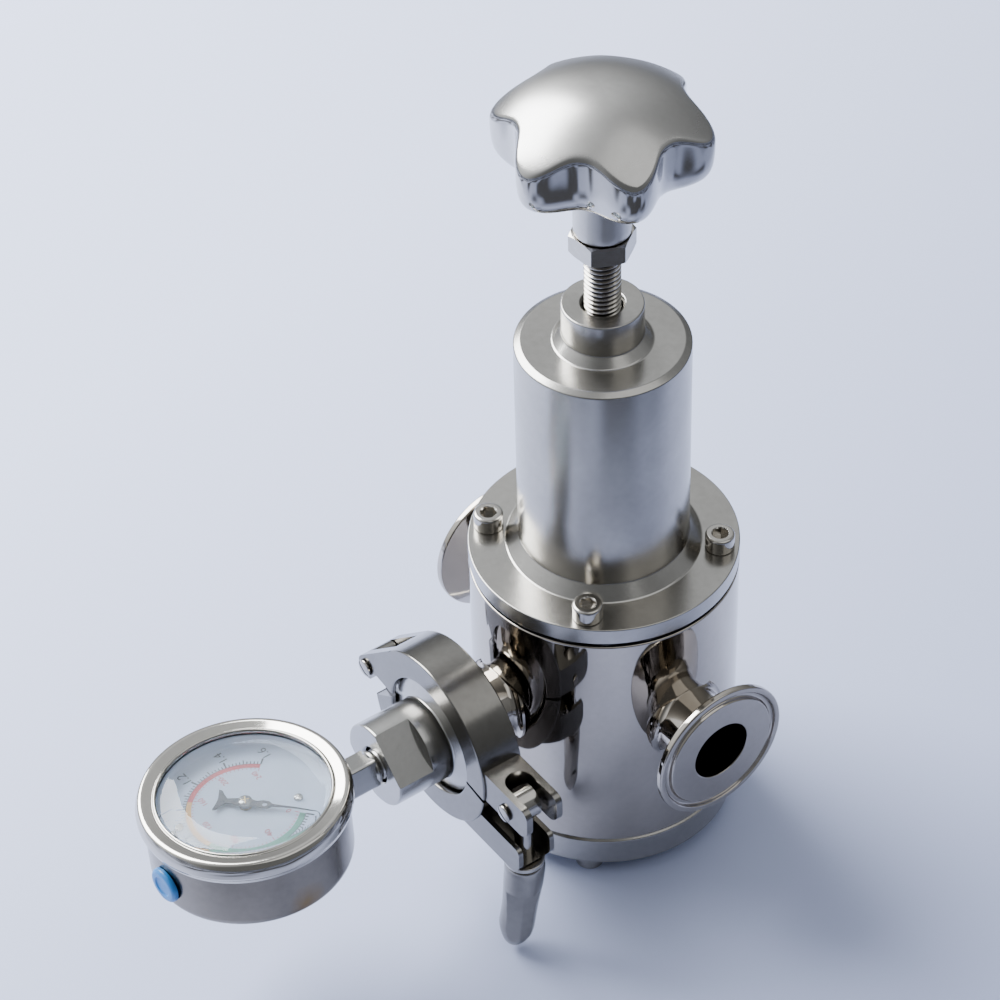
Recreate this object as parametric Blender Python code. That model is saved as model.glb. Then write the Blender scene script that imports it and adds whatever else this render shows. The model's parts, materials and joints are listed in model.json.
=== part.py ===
"""Hygienic pressure reducing valve with clamp ports, a star knob and a pressure gauge.

Lengths are written in millimetres and turned into metres by MM when a mesh is made.
The frame: Z up, origin at the centre of the bottom cover's underside, the inlet port
along +X, the outlet port along -X and the gauge port along -Y.
"""
import math

import bmesh
import bpy
from mathutils import Matrix, Vector

MM = 0.001
GAP = 0.3                      # clearance kept between pieces that touch

# ---------------------------------------------------------------- driving dimensions
BODY_R = 45.4                  # body, bonnet flange and bottom cover
COVER_T = 12.0                 # bottom cover thickness
BODY_Z0 = 12.3                 # body underside
BODY_Z1 = 104.8                # body top face
FLANGE_Z0 = 106.4              # bonnet flange underside
FLANGE_Z1 = 112.6              # bonnet flange top
BONNET_R = 28.5                # spring housing radius
BONNET_Z1 = 196.8              # sharp top edge of the housing, under the chamfer
BONNET_TOP = 198.0             # flat top of the housing
BOSS_TOP = 212.6               # top of the threaded boss
BOSS_R = 13.3
BOLT_CIRCLE_R = 38.8           # cover and bonnet screws
BOLT_ANGLES = (45, 135, 225, 315)
PORT_Z = 62.4                  # height of the three port axes
PORT_FACE = 64.2               # ferrule face to valve axis
PORT_BORE_R = 10.9
FERRULE_R = 25.25              # 50.5 mm clamp ferrule
NECK_R = 12.7
SEAT_Z = 76.0                  # shoulder that the valve seat stands against
LOWER_BORE_R = 14.0            # chamber round the plug
CHAMBER_R = 33.0               # outlet chamber under the diaphragm
CHAMBER_Z = 85.0
SPINDLE_R = 5.9                # M12 adjusting screw
SPINDLE_HOLE_R = 6.5
THREAD_PITCH = 1.75
NUT_Z0, NUT_Z1 = 234.0, 241.0
NUT_AF = 18.7
KNOB_HUB_R = 9.2
KNOB_TOP_Z = 295.2             # crown of the dome
KNOB_EDGE_Z = 281.4            # top edge at the tip of a lobe
KNOB_LOBE_R = 34.6
KNOB_HOLLOW_R = 27.0
KNOB_LOBE_DEG = -19.6
CLAMP_Y = -65.7                # middle plane of the clamp
CLAMP_HALF_W = 8.0
CLAMP_R = 31.7
CLAMP_LIP_R = 21.5
HINGE_X, HINGE_Z = -36.5, 66.0
BOLT_X, BOLT_PIN_Z = 42.5, 61.5
LUG_HALF_W = 7.2
SLOT_HALF_W = 4.8
HANDLE_TOP_Z = 33.6
GAUGE_Y = -144.6               # gauge axis
GAUGE_TILT = -4.2              # degrees about the port axis
STEM_TURN = -12.3              # how far the stem's square stands turned in the gauge
CASE_R = 33.5
CASE_H0, CASE_H1 = -9.5, 11.5  # case bottom and bezel seam, measured from the port axis
BEZEL_R = 35.5
BEZEL_H1 = 19.3
GLASS_R = 29.0                 # visible radius of the window
ZERO_DEG = 43.0                # pointer direction at zero

STEEL = dict(color=(0.62, 0.62, 0.61), metallic=1.0, rough=0.28)
MIRROR = dict(color=(0.70, 0.69, 0.67), metallic=1.0, rough=0.06)
SATIN = dict(color=(0.58, 0.58, 0.58), metallic=1.0, rough=0.38)
BLACK_RUBBER = dict(color=(0.02, 0.02, 0.02), metallic=0.0, rough=0.6)
WHITE_SEAL = dict(color=(0.85, 0.85, 0.83), metallic=0.0, rough=0.45)


# ---------------------------------------------------------------- small helpers
def clear_scene():
    for obj in list(bpy.data.objects):
        bpy.data.objects.remove(obj, do_unlink=True)


def material(name, look):
    mat = bpy.data.materials.new(name + "_material")
    mat.use_nodes = True
    shader = mat.node_tree.nodes["Principled BSDF"]
    r, g, b = look["color"]
    shader.inputs["Base Color"].default_value = (r, g, b, 1.0)
    shader.inputs["Metallic"].default_value = look["metallic"]
    shader.inputs["Roughness"].default_value = look["rough"]
    if "glass" in look:
        shader.inputs["Transmission Weight"].default_value = look["glass"]
    return mat


def empty(name, location, rotation=(0, 0, 0), parent=None):
    obj = bpy.data.objects.new(name, None)
    obj.location = Vector(location) * MM
    obj.rotation_euler = [math.radians(a) for a in rotation]
    obj.parent = parent
    bpy.context.scene.collection.objects.link(obj)
    return obj


def add(name, bm, look, location=(0, 0, 0), rotation=(0, 0, 0), parent=None):
    """Turn a bmesh drawn in millimetres into a named object."""
    bmesh.ops.scale(bm, vec=(MM, MM, MM), verts=bm.verts)
    bmesh.ops.recalc_face_normals(bm, faces=bm.faces)
    mesh = bpy.data.meshes.new(name)
    bm.to_mesh(mesh)
    bm.free()
    mesh.shade_smooth()
    mesh.set_sharp_from_angle(angle=math.radians(35))
    obj = bpy.data.objects.new(name, mesh)
    obj.location = Vector(location) * MM
    obj.rotation_euler = [math.radians(a) for a in rotation]
    obj.parent = parent
    if look is not None:
        mesh.materials.append(material(name, look))
    bpy.context.scene.collection.objects.link(obj)
    return obj


def lathe(profile, segments=32, start=0.0, sweep=360.0):
    """Turn a closed outline of (radius, height) points about Z."""
    bm = bmesh.new()
    full = sweep >= 359.999
    count = segments if full else segments + 1
    rings = []
    for radius, height in profile:
        if radius < 1e-6:
            rings.append([bm.verts.new((0, 0, height))])
            continue
        ring = []
        for i in range(count):
            angle = math.radians(start + sweep * i / segments)
            ring.append(bm.verts.new((radius * math.cos(angle), radius * math.sin(angle), height)))
        rings.append(ring)
    steps = segments
    for k, ring in enumerate(rings):
        other = rings[(k + 1) % len(rings)]
        if len(ring) == 1 and len(other) == 1:
            continue
        for i in range(steps):
            j = (i + 1) % count
            if len(ring) == 1:
                bm.faces.new((ring[0], other[i], other[j]))
            elif len(other) == 1:
                bm.faces.new((ring[i], other[0], ring[j]))
            else:
                bm.faces.new((ring[i], other[i], other[j], ring[j]))
    if not full:
        bm.faces.new([ring[0] for ring in rings])
        bm.faces.new([ring[-1] for ring in rings])
    return bm


def cylinder(radius, z0, z1, segments=24, chamfer=0.0):
    c = chamfer
    if c > 0:
        return lathe([(0, z0), (radius - c, z0), (radius, z0 + c), (radius, z1 - c),
                      (radius - c, z1), (0, z1)], segments)
    return lathe([(0, z0), (radius, z0), (radius, z1), (0, z1)], segments)


def prism(points, z0, z1):
    """Extrude a flat outline of (x, y) points from z0 to z1."""
    bm = bmesh.new()
    low = [bm.verts.new((x, y, z0)) for x, y in points]
    high = [bm.verts.new((x, y, z1)) for x, y in points]
    bm.faces.new(list(reversed(low)))
    bm.faces.new(high)
    for i in range(len(points)):
        j = (i + 1) % len(points)
        bm.faces.new((low[i], low[j], high[j], high[i]))
    return bm


def box(x0, x1, y0, y1, z0, z1):
    return prism([(x0, y0), (x1, y0), (x1, y1), (x0, y1)], z0, z1)


def hexagon(across_flats, turn=0.0):
    radius = across_flats / math.sqrt(3)
    return [(radius * math.cos(math.radians(turn + 60 * i)),
             radius * math.sin(math.radians(turn + 60 * i))) for i in range(6)]


def sweep_tube(centres, frames, section):
    """Join copies of a closed section set along a path, with flat end caps."""
    bm = bmesh.new()
    rings = []
    for centre, (side, up) in zip(centres, frames):
        rings.append([bm.verts.new(centre + side * a + up * b) for a, b in section])
    n = len(section)
    for first, second in zip(rings, rings[1:]):
        for i in range(n):
            j = (i + 1) % n
            bm.faces.new((first[i], first[j], second[j], second[i]))
    bm.faces.new(list(reversed(rings[0])))
    bm.faces.new(rings[-1])
    return bm


def coil(mean_r, wire_r, z0, z1, turns, steps=18, sides=8):
    """Compression spring whose wire stays between z0 and z1."""
    total = int(turns * steps)
    centres, frames = [], []
    low, high = z0 + wire_r, z1 - wire_r
    for i in range(total + 1):
        angle = 2 * math.pi * i / steps
        radial = Vector((math.cos(angle), math.sin(angle), 0))
        centres.append(radial * mean_r + Vector((0, 0, low + (high - low) * i / total)))
        frames.append((radial, Vector((0, 0, 1))))
    section = [(wire_r * math.cos(2 * math.pi * k / sides), wire_r * math.sin(2 * math.pi * k / sides))
               for k in range(sides)]
    return sweep_tube(centres, frames, section)


def boolean(obj, bm, operation, location=(0, 0, 0), rotation=(0, 0, 0), parent=None):
    """Cut or join a second shape and keep the result as the object's own mesh."""
    tool = add("tool", bm, None, location, rotation, parent)
    tool.hide_render = True
    tool.display_type = "WIRE"
    modifier = obj.modifiers.new(operation.lower(), "BOOLEAN")
    modifier.operation = operation
    modifier.solver = "EXACT"
    modifier.object = tool
    bpy.context.view_layer.update()
    graph = bpy.context.evaluated_depsgraph_get()
    mesh = bpy.data.meshes.new_from_object(obj.evaluated_get(graph))
    obj.modifiers.clear()
    old = obj.data
    name = old.name
    obj.data = mesh
    bpy.data.meshes.remove(old)
    mesh.name = name
    tool_mesh = tool.data
    bpy.data.objects.remove(tool, do_unlink=True)
    bpy.data.meshes.remove(tool_mesh)
    mesh.shade_smooth()
    mesh.set_sharp_from_angle(angle=math.radians(35))
    return obj


def cut(obj, bm, **where):
    return boolean(obj, bm, "DIFFERENCE", **where)


def join(obj, bm, **where):
    return boolean(obj, bm, "UNION", **where)


def on_circle(radius, degrees, z=0.0):
    angle = math.radians(degrees)
    return (radius * math.cos(angle), radius * math.sin(angle), z)


# ---------------------------------------------------------------- body and its ports
def build_body():
    c = 0.6
    body = add("body_shell", lathe([
        (0, BODY_Z0), (BODY_R - c, BODY_Z0), (BODY_R, BODY_Z0 + c), (BODY_R, BODY_Z1 - c),
        (BODY_R - c, BODY_Z1), (CHAMBER_R, BODY_Z1), (CHAMBER_R, CHAMBER_Z), (0, CHAMBER_Z)], 36), MIRROR)
    # plug chamber from below, and the throat through the seat's shoulder
    cut(body, lathe([(0, BODY_Z0 - 1), (LOWER_BORE_R, BODY_Z0 - 1), (LOWER_BORE_R, SEAT_Z), (9, SEAT_Z),
                     (9, CHAMBER_Z + 1), (0, CHAMBER_Z + 1)], 24))
    # inlet bore opens into the plug chamber; the outlet and gauge bores stop short of it
    cut(body, port_bore(8.0), location=(0, 0, PORT_Z), rotation=(0, 90, 0))
    cut(body, port_bore(20.5), location=(0, 0, PORT_Z), rotation=(0, -90, 0))
    cut(body, port_bore(27.0, small_r=3.0, small_from=22.0), location=(0, 0, PORT_Z), rotation=(90, 0, 0))
    # passages that rise from the outlet and gauge bores to the outlet chamber
    cut(body, cylinder(6.6, PORT_Z - 2.3, CHAMBER_Z + 1, 14), location=(-25.6, 0, 0))
    cut(body, cylinder(2.7, PORT_Z - 0.8, CHAMBER_Z + 1, 10), location=(0.1, -25.3, 0))
    for angle in BOLT_ANGLES:
        x, y, _ = on_circle(BOLT_CIRCLE_R, angle)
        cut(body, cylinder(3.4, 84.0, BODY_Z1 + 1, 8), location=(x, y, 0))
        cut(body, cylinder(3.4, BODY_Z0 - 1, 32.0, 8), location=(x, y, 0))
    return body


def port_bore(depth, small_r=None, small_from=0.0):
    """Cutter along Z: a socket for the ferrule neck, then the port's own bore."""
    r = PORT_BORE_R
    outline = [(0, depth)]
    if small_r:
        outline = [(0, small_from), (small_r, small_from), (small_r, 38.0)]
        depth = 38.0
    outline += [(r, depth), (r, 41.0), (NECK_R + GAP, 41.0), (NECK_R + GAP, 50.0), (0, 50.0)]
    return lathe(outline, 22)


def ferrule_outline(inner_r, neck_r, z_end, face, back):
    """Clamp ferrule turned about Z: flat sealing face, gasket groove, 20 degree back."""
    rim = 2.6
    cone_r = neck_r + 2.2
    cone = rim + (FERRULE_R - cone_r) * math.tan(math.radians(20))
    s = 1 if back < face else -1
    return [
        (inner_r, z_end), (neck_r, z_end), (neck_r, face - s * (cone + 1.4)), (cone_r, face - s * cone),
        (FERRULE_R, face - s * rim), (FERRULE_R, face - s * 0.7), (FERRULE_R - 0.5, face - s * 0.25),
        (22.9, face - s * 0.25), (21.8, face - s * 1.2), (20.7, face), (inner_r, face)]


def build_ferrules():
    places = (("inlet_ferrule", (0, 90, 0)), ("outlet_ferrule", (0, -90, 0)), ("gauge_ferrule", (90, 0, 0)))
    for name, rotation in places:
        outline = ferrule_outline(PORT_BORE_R, NECK_R, 41.3, PORT_FACE, 0.0)
        add(name, lathe(outline, 20), MIRROR, location=(0, 0, PORT_Z), rotation=rotation)


def build_cover():
    cover = add("bottom_cover", lathe([
        (0, 0), (BODY_R - 0.8, 0), (BODY_R, 0.8), (BODY_R, COVER_T - 1.2), (BODY_R - 0.9, COVER_T - 0.5),
        (BODY_R - 0.9, COVER_T), (25.6, COVER_T), (25.6, COVER_T - 2.6), (22.4, COVER_T - 2.6),
        (22.4, COVER_T), (LOWER_BORE_R - GAP, COVER_T), (LOWER_BORE_R - GAP, 16.0), (8.0, 16.0),
        (8.0, 34.0), (5.1, 34.0), (5.1, 20.0), (0, 20.0)], 24), SATIN)
    for angle in BOLT_ANGLES:
        x, y, _ = on_circle(BOLT_CIRCLE_R, angle)
        cut(cover, cylinder(3.4, -1, COVER_T + 1, 8), location=(x, y, 0))
    seal = [(24 + 1.2 * math.cos(math.radians(a)), COVER_T - 1.25 + 1.2 * math.sin(math.radians(a)))
            for a in range(0, 360, 60)]
    add("cover_seal", lathe(seal, 16), BLACK_RUBBER)


def socket_screw(name, location, flip, shank):
    """M6 cap screw; drawn with its head above z = 0 and its shank below."""
    screw = add(name, lathe([
        (0, -shank), (3.0, -shank), (3.0, 0), (5.0, 0), (5.0, 5.2), (4.4, 5.8), (0, 5.8)],
        10), STEEL, location=location, rotation=(180 if flip else 0, 0, 0))
    cut(screw, prism(hexagon(5.0, 15), 2.8, 7.0), location=location, rotation=(180 if flip else 0, 0, 0))
    return screw


def build_screws():
    for i, angle in enumerate(BOLT_ANGLES):
        x, y, _ = on_circle(BOLT_CIRCLE_R, angle)
        socket_screw("bonnet_screw_%d" % (i + 1), (x, y, FLANGE_Z1 + GAP), False, 27.0)
        socket_screw("cover_screw_%d" % (i + 1), (x, y, -GAP), True, 29.0)


# ---------------------------------------------------------------- bonnet, spring and knob
def build_bonnet():
    bonnet = add("bonnet", lathe([
        (23.5, FLANGE_Z0), (BODY_R - 0.4, FLANGE_Z0), (BODY_R, FLANGE_Z0 + 0.4), (BODY_R, FLANGE_Z1 - 0.7),
        (BODY_R - 0.7, FLANGE_Z1), (32.2, FLANGE_Z1), (BONNET_R, FLANGE_Z1 + 4.6), (BONNET_R, BONNET_Z1),
        (26.3, BONNET_TOP), (16.0, BONNET_TOP), (BOSS_R, BONNET_TOP + 3.0), (BOSS_R, BOSS_TOP - 0.4),
        (BOSS_R - 0.4, BOSS_TOP), (7.4, BOSS_TOP), (SPINDLE_HOLE_R, BOSS_TOP - 0.9),
        (SPINDLE_HOLE_R, 190.0), (23.5, 190.0)], 28), SATIN)
    for angle in BOLT_ANGLES:
        x, y, _ = on_circle(BOLT_CIRCLE_R, angle)
        cut(bonnet, cylinder(3.4, FLANGE_Z0 - 1, FLANGE_Z1 + 1, 8), location=(x, y, 0))


def build_spindle_group():
    """Screw, jam nut and knob turn together; the spring button slides under them."""
    axis = empty("knob_axis", (0, 0, 0))
    pitch = THREAD_PITCH
    outline = [(0, 173.6), (3.2, 173.6), (4.9, 175.3), (4.9, 210.0)]
    z = 210.0
    while z < NUT_Z0:
        outline += [(SPINDLE_R, z + 0.85), (4.9, z + 1.7)]
        z += pitch
    outline += [(SPINDLE_R, z + 1.0), (SPINDLE_R, 258.0), (0, 258.0)]
    add("adjusting_screw", lathe(outline, 10), STEEL, parent=axis)

    corner = NUT_AF / math.sqrt(3)
    nut = add("jam_nut", prism(hexagon(NUT_AF, 4), NUT_Z0, NUT_Z1), STEEL, parent=axis)
    boolean(nut, lathe([(SPINDLE_R + GAP, NUT_Z0 - 1), (corner - 1.1, NUT_Z0 - 1), (corner - 1.1, NUT_Z0),
                        (corner + 0.3, NUT_Z0 + 0.8), (corner + 0.3, NUT_Z1 - 0.8), (corner - 1.1, NUT_Z1),
                        (corner - 1.1, NUT_Z1 + 1), (SPINDLE_R + GAP, NUT_Z1 + 1)], 24), "INTERSECT")
    build_knob(axis)
    add("spring_button", lathe([
        (0, 162.3), (11.6, 162.3), (12.4, 163.1), (12.4, 168.3), (22.2, 168.3), (22.8, 168.9), (22.8, 172.7),
        (22.2, 173.3), (0, 173.3)], 20), STEEL)
    add("range_spring", coil(16.6, 2.1, 102.6, 168.0, 6.0, steps=12, sides=5), STEEL)


def knob_outline(base, depth, angle):
    """Six blunt lobes with round hollows between them; depth is how far a hollow cuts in."""
    wave = 0.5 + 0.5 * math.cos(6 * (angle - math.radians(KNOB_LOBE_DEG)))
    return base - depth * (1 - wave ** 1.2)


def knob_dome(r):
    """Height of the smooth top at radius r; the hollows meet it higher than the lobes do."""
    return KNOB_TOP_Z - (KNOB_TOP_Z - KNOB_EDGE_Z) * (r / KNOB_LOBE_R) ** 2.3


def build_knob(axis):
    """Star knob: a round hub under a flat-bottomed cap with six lobes and a tall smooth dome."""
    hollow = KNOB_LOBE_R - KNOB_HOLLOW_R
    walls = [(241.3, 8.6, 0), (241.9, KNOB_HUB_R, 0), (260.5, KNOB_HUB_R, 0), (262.5, 14.0, 0.8),
             (264.3, 24.0, 4.6), (265.6, 29.4, 6.6), (268.0, 32.9, hollow), (271.5, 34.4, hollow),
             (276.0, KNOB_LOBE_R, hollow)]
    steps = 60
    angles = [2 * math.pi * i / steps for i in range(steps)]
    rings = [[(knob_outline(base, depth, a), z, a) for a in angles] for z, base, depth in walls]
    rim = [knob_outline(KNOB_LOBE_R, hollow, a) for a in angles]
    rings.append([(r, knob_dome(r) - 1.3, a) for r, a in zip(rim, angles)])
    for share in (0.965, 0.84, 0.68, 0.5, 0.3, 0.12):
        rings.append([(share * r, knob_dome(share * r), a) for r, a in zip(rim, angles)])
    bm = bmesh.new()
    rows = [[bm.verts.new((r * math.cos(a), r * math.sin(a), z)) for r, z, a in ring] for ring in rings]
    crown = bm.verts.new((0, 0, KNOB_TOP_Z))
    for i in range(steps):
        j = (i + 1) % steps
        for low, high in zip(rows, rows[1:]):
            bm.faces.new((low[i], low[j], high[j], high[i]))
        bm.faces.new((rows[-1][i], rows[-1][j], crown))
    bm.faces.new(list(reversed(rows[0])))
    knob = add("star_knob", bm, MIRROR, parent=axis)
    cut(knob, cylinder(SPINDLE_R + GAP, 240.0, 259.0, 16), parent=axis)


# ---------------------------------------------------------------- diaphragm, plug and seat
def build_trim():
    diaphragm = add("diaphragm", lathe([
        (3.4, 98.0), (22.3, 98.0), (24.3, 98.7), (30.4, 104.7), (31.4, 105.1), (BODY_R - 0.7, 105.1),
        (BODY_R - 0.7, 106.1), (30.4, 106.1), (29.4, 105.7), (23.4, 99.7), (22.0, 99.0), (3.4, 99.0)], 20),
        BLACK_RUBBER)
    for angle in BOLT_ANGLES:
        x, y, _ = on_circle(BOLT_CIRCLE_R, angle)
        cut(diaphragm, cylinder(3.5, 104, 107, 8), location=(x, y, 0))
    add("diaphragm_plate", lathe([
        (3.3, 99.3), (20.4, 99.3), (21.4, 100.3), (21.4, 102.3), (13.9, 102.3), (13.9, 105.0),
        (12.9, 105.0), (12.9, 102.3), (3.3, 102.3)], 16), STEEL)
    add("pusher_plate", lathe([
        (0, 92.0), (5.0, 92.0), (5.0, 94.7), (20.4, 94.7), (21.4, 95.7), (21.4, 97.7), (3.0, 97.7),
        (3.0, 108.0), (0, 108.0)], 16), STEEL)
    plate_nut = add("plate_nut", prism(hexagon(10.0, 0), 102.6, 106.6), STEEL)
    cut(plate_nut, cylinder(3.3, 102, 107, 16))
    add("valve_seat", lathe([
        (8.4, 70.0), (10.0, 70.0), (10.9, 71.4), (LOWER_BORE_R - GAP, 71.4),
        (LOWER_BORE_R - GAP, SEAT_Z - GAP), (8.4, SEAT_Z - GAP)], 24), STEEL)
    add("valve_plug", lathe([
        (0, 26.0), (4.4, 26.0), (5.0, 26.6), (5.0, 58.5), (11.6, 58.5), (12.0, 58.9), (12.0, 66.6),
        (4.0, 66.6), (4.0, 84.0), (3.0, 85.0), (3.0, 91.7), (0, 91.7)], 16), STEEL)
    add("plug_seal", lathe([(4.3, 66.9), (11.8, 66.9), (11.8, 69.7), (4.3, 69.7)], 28), WHITE_SEAL)
    add("return_spring", coil(10.4, 0.9, 16.3, 58.2, 5.0, steps=9, sides=4), STEEL)


# ---------------------------------------------------------------- clamp on the gauge port
def clamp_ring(start, sweep, segments):
    """Part of the clamp ring, drawn about Z with its middle plane at z = 0."""
    w, lip, rim = CLAMP_HALF_W, CLAMP_LIP_R, 25.7
    deep = 4.6
    wide = deep + (rim - lip) * math.tan(math.radians(20))
    c = 0.5
    outline = [(lip, w), (lip, wide), (rim, deep), (rim, -deep), (lip, -wide), (lip, -w),
               (CLAMP_R - c, -w), (CLAMP_R, c - w), (CLAMP_R, w - c), (CLAMP_R - c, w)]
    return lathe(outline, segments, start, sweep)


def groove_cutter():
    """The room that the two ferrules need inside the clamp."""
    w, lip, rim = CLAMP_HALF_W, CLAMP_LIP_R, 25.7
    deep = 4.6
    wide = deep + (rim - lip) * math.tan(math.radians(20))
    return lathe([(0, w + 2), (lip, w + 2), (lip, wide), (rim, deep), (rim, -deep), (lip, -wide),
                  (lip, -w - 2), (0, -w - 2)], 24)


def y_cylinder_at(radius, half, x, z, segments=12):
    """Cylinder along the port axis direction, in the clamp's own drawing frame."""
    bm = cylinder(radius, -half, half, segments)
    bmesh.ops.translate(bm, vec=(x, z, 0), verts=bm.verts)
    return bm


def build_clamp():
    """Drawn with X across and Y up in the ring's plane, then stood on the port axis."""
    place = dict(location=(0, CLAMP_Y, PORT_Z), rotation=(90, 0, 0))
    hx, hy = HINGE_X, HINGE_Z - PORT_Z
    bx, by = BOLT_X, BOLT_PIN_Z - PORT_Z
    lw, sw = LUG_HALF_W, SLOT_HALF_W
    ear_r = 4.5

    upper = add("clamp_upper_half", clamp_ring(-8, 180, 13), STEEL, **place)
    lug = prism([(26, -4.6), (51.0, -4.6), (53.4, -3.6), (54.6, -1.2), (54.6, 4.4), (53.4, 6.8), (51.6, 7.7),
                 (26, 7.7)], -lw, lw)
    join(upper, lug, **place)
    # the ears run straight on from the ring's back and end round about the hinge pin
    cheek = [on_circle(CLAMP_R - 0.1, 131)[:2], on_circle(CLAMP_R - 1.0, 171.8)[:2], (-32.4, 3.5)]
    cheek += [(hx + ear_r * math.cos(math.radians(a)), hy + ear_r * math.sin(math.radians(a)))
              for a in range(-60, -229, -24)]
    for side in (-1, 1):
        join(upper, prism(list(reversed(cheek)), side * 6.1 - 1.9, side * 6.1 + 1.9), **place)
    cut(upper, groove_cutter(), **place)
    slot = prism([(36.0, -30), (36.0, 30), (60, 30), (60, -30)], -sw, sw)
    cut(upper, slot, **place)
    cut(upper, y_cylinder_at(2.3, 12, hx, hy, 8), **place)
    cut(upper, y_cylinder_at(2.3, 12, bx, by, 8), **place)

    lower = add("clamp_lower_half", clamp_ring(174.6, 174.4, 13), STEEL, **place)
    lug = prism([(16, -26.4), (46.5, -26.4), (48.6, -25.0), (49.5, -23.0), (49.5, -17.6), (48.6, -15.4),
                 (46.5, -14.4), (24, -14.4)], -lw, lw)
    join(lower, lug, **place)
    join(lower, y_cylinder_at(ear_r, 3.8, hx, hy), **place)
    join(lower, box(hx, -28.5, hy - ear_r, hy - 0.9, -3.8, 3.8), **place)
    cut(lower, groove_cutter(), **place)
    slot = prism([(36.0, -60), (36.0, -10), (60, -10), (60, -60)], -sw, sw)
    cut(lower, slot, **place)
    cut(lower, y_cylinder_at(2.3, 12, hx, hy, 8), **place)

    hinge_pin = [(0, -8.5), (2.0, -8.5), (2.0, 8.3), (3.2, 8.3), (3.2, 9.0), (2.6, 9.6), (0, 9.6)]
    add("clamp_hinge_pin", lathe(hinge_pin, 10), STEEL, location=(HINGE_X, CLAMP_Y, HINGE_Z),
        rotation=(90, 0, 0))
    bolt_pin = [(0, -8.1), (2.0, -8.1), (2.0, 7.5), (2.8, 7.5), (2.8, 7.9), (2.2, 8.4), (0, 8.4)]
    add("bolt_pin", lathe(bolt_pin, 10), STEEL, location=(BOLT_X, CLAMP_Y, BOLT_PIN_Z),
        rotation=(90, 0, 0))
    build_swing_bolt()
    gasket = [(PORT_BORE_R + 0.1, 64.5), (FERRULE_R - 0.9, 64.5), (FERRULE_R - 0.5, 64.9),
              (FERRULE_R - 0.5, 66.5), (FERRULE_R - 0.9, 66.9), (PORT_BORE_R + 0.1, 66.9)]
    add("clamp_gasket", lathe(gasket, 20), WHITE_SEAL, location=(0, 0, PORT_Z), rotation=(90, 0, 0))


def build_swing_bolt():
    """Eye bolt that swings on its pin, with a thrust collar and the handle nut on it."""
    pin = empty("bolt_axis", (BOLT_X, CLAMP_Y, BOLT_PIN_Z))
    bolt = add("swing_bolt", y_cylinder_at(5.8, 3.4, 0, 0, 16), STEEL, rotation=(90, 0, 0), parent=pin)
    shank_end = 13.0 - BOLT_PIN_Z
    join(bolt, lathe([(0, shank_end), (2.6, shank_end), (3.3, shank_end + 0.8), (3.3, -3.0), (0, -3.0)], 20),
         parent=pin)
    cut(bolt, y_cylinder_at(2.3, 6, 0, 0, 8), rotation=(90, 0, 0), parent=pin)

    collar_top = PORT_Z - 26.4 - GAP - BOLT_PIN_Z
    collar_low = HANDLE_TOP_Z + GAP - BOLT_PIN_Z
    add("thrust_collar", lathe([(3.6, collar_low), (6.4, collar_low), (6.8, collar_low + 0.4),
                                (6.8, collar_top - 0.4), (6.4, collar_top), (3.6, collar_top)], 16), STEEL,
        parent=pin)
    build_handle(pin)


def build_handle(pin):
    """Handle nut: a round threaded hub that runs on into a flattened, leaning grip."""
    # height, half width across the swing, half width along the port axis, lean
    stations = [(HANDLE_TOP_Z, 6.4, 6.4, 0.0), (32.6, 6.9, 6.9, 0.0), (28.0, 7.0, 6.9, -0.3),
                (22.0, 6.9, 6.5, -1.0), (16.0, 6.4, 6.0, -2.0), (10.0, 6.5, 5.8, -3.0), (5.5, 6.7, 5.6, -3.9),
                (1.5, 5.8, 4.9, -4.6), (-1.8, 4.2, 3.7, -5.1), (-4.2, 2.2, 2.0, -5.4)]
    steps = 16
    bm = bmesh.new()
    rings = []
    for z, half_x, half_y, shift in stations:
        ring = []
        for i in range(steps):
            angle = 2 * math.pi * i / steps
            ring.append(bm.verts.new((half_x * math.cos(angle), half_y * math.sin(angle) + shift,
                                      z - BOLT_PIN_Z)))
        rings.append(ring)
    for high, low in zip(rings, rings[1:]):
        for i in range(steps):
            j = (i + 1) % steps
            bm.faces.new((high[i], high[j], low[j], low[i]))
    bm.faces.new(list(reversed(rings[0])))
    bm.faces.new(rings[-1])
    handle = add("handle_nut", bm, MIRROR, parent=pin)
    cut(handle, cylinder(3.6, 11.0 - BOLT_PIN_Z, HANDLE_TOP_Z + 1 - BOLT_PIN_Z, 20), parent=pin)


# ---------------------------------------------------------------- gauge and its adaptor
def build_adaptor():
    place = dict(location=(0, 0, PORT_Z), rotation=(90, 0, 0))
    rim = 2.6
    cone = rim + (FERRULE_R - 17.0) * math.tan(math.radians(20))
    face = 67.2
    adaptor = add("gauge_adaptor", lathe([
        (4.0, face + 0.3), (4.3, face), (20.7, face), (21.3, face + 1.2), (22.3, face + 1.2),
        (22.9, face + 0.3), (FERRULE_R - 0.8, face + 0.3), (FERRULE_R, face + 0.9),
        (FERRULE_R, face + rim - 0.4), (FERRULE_R - 0.4, face + rim + 0.15), (17.0, face + cone),
        (15.0, face + cone + 0.8), (15.0, 95.0),
        (14.5, 95.5), (7.2, 95.5), (6.5, 94.8), (6.5, 80.0), (4.0, 80.0)], 24), STEEL, **place)
    for turn in (45, 225):
        flat = box(11.4, 20, -16, 16, 82.0, 97.0)
        matrix = Matrix.Rotation(math.radians(turn), 3, "Z")
        bmesh.ops.rotate(flat, verts=flat.verts, cent=(0, 0, 0), matrix=matrix)
        cut(adaptor, flat, **place)


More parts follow.
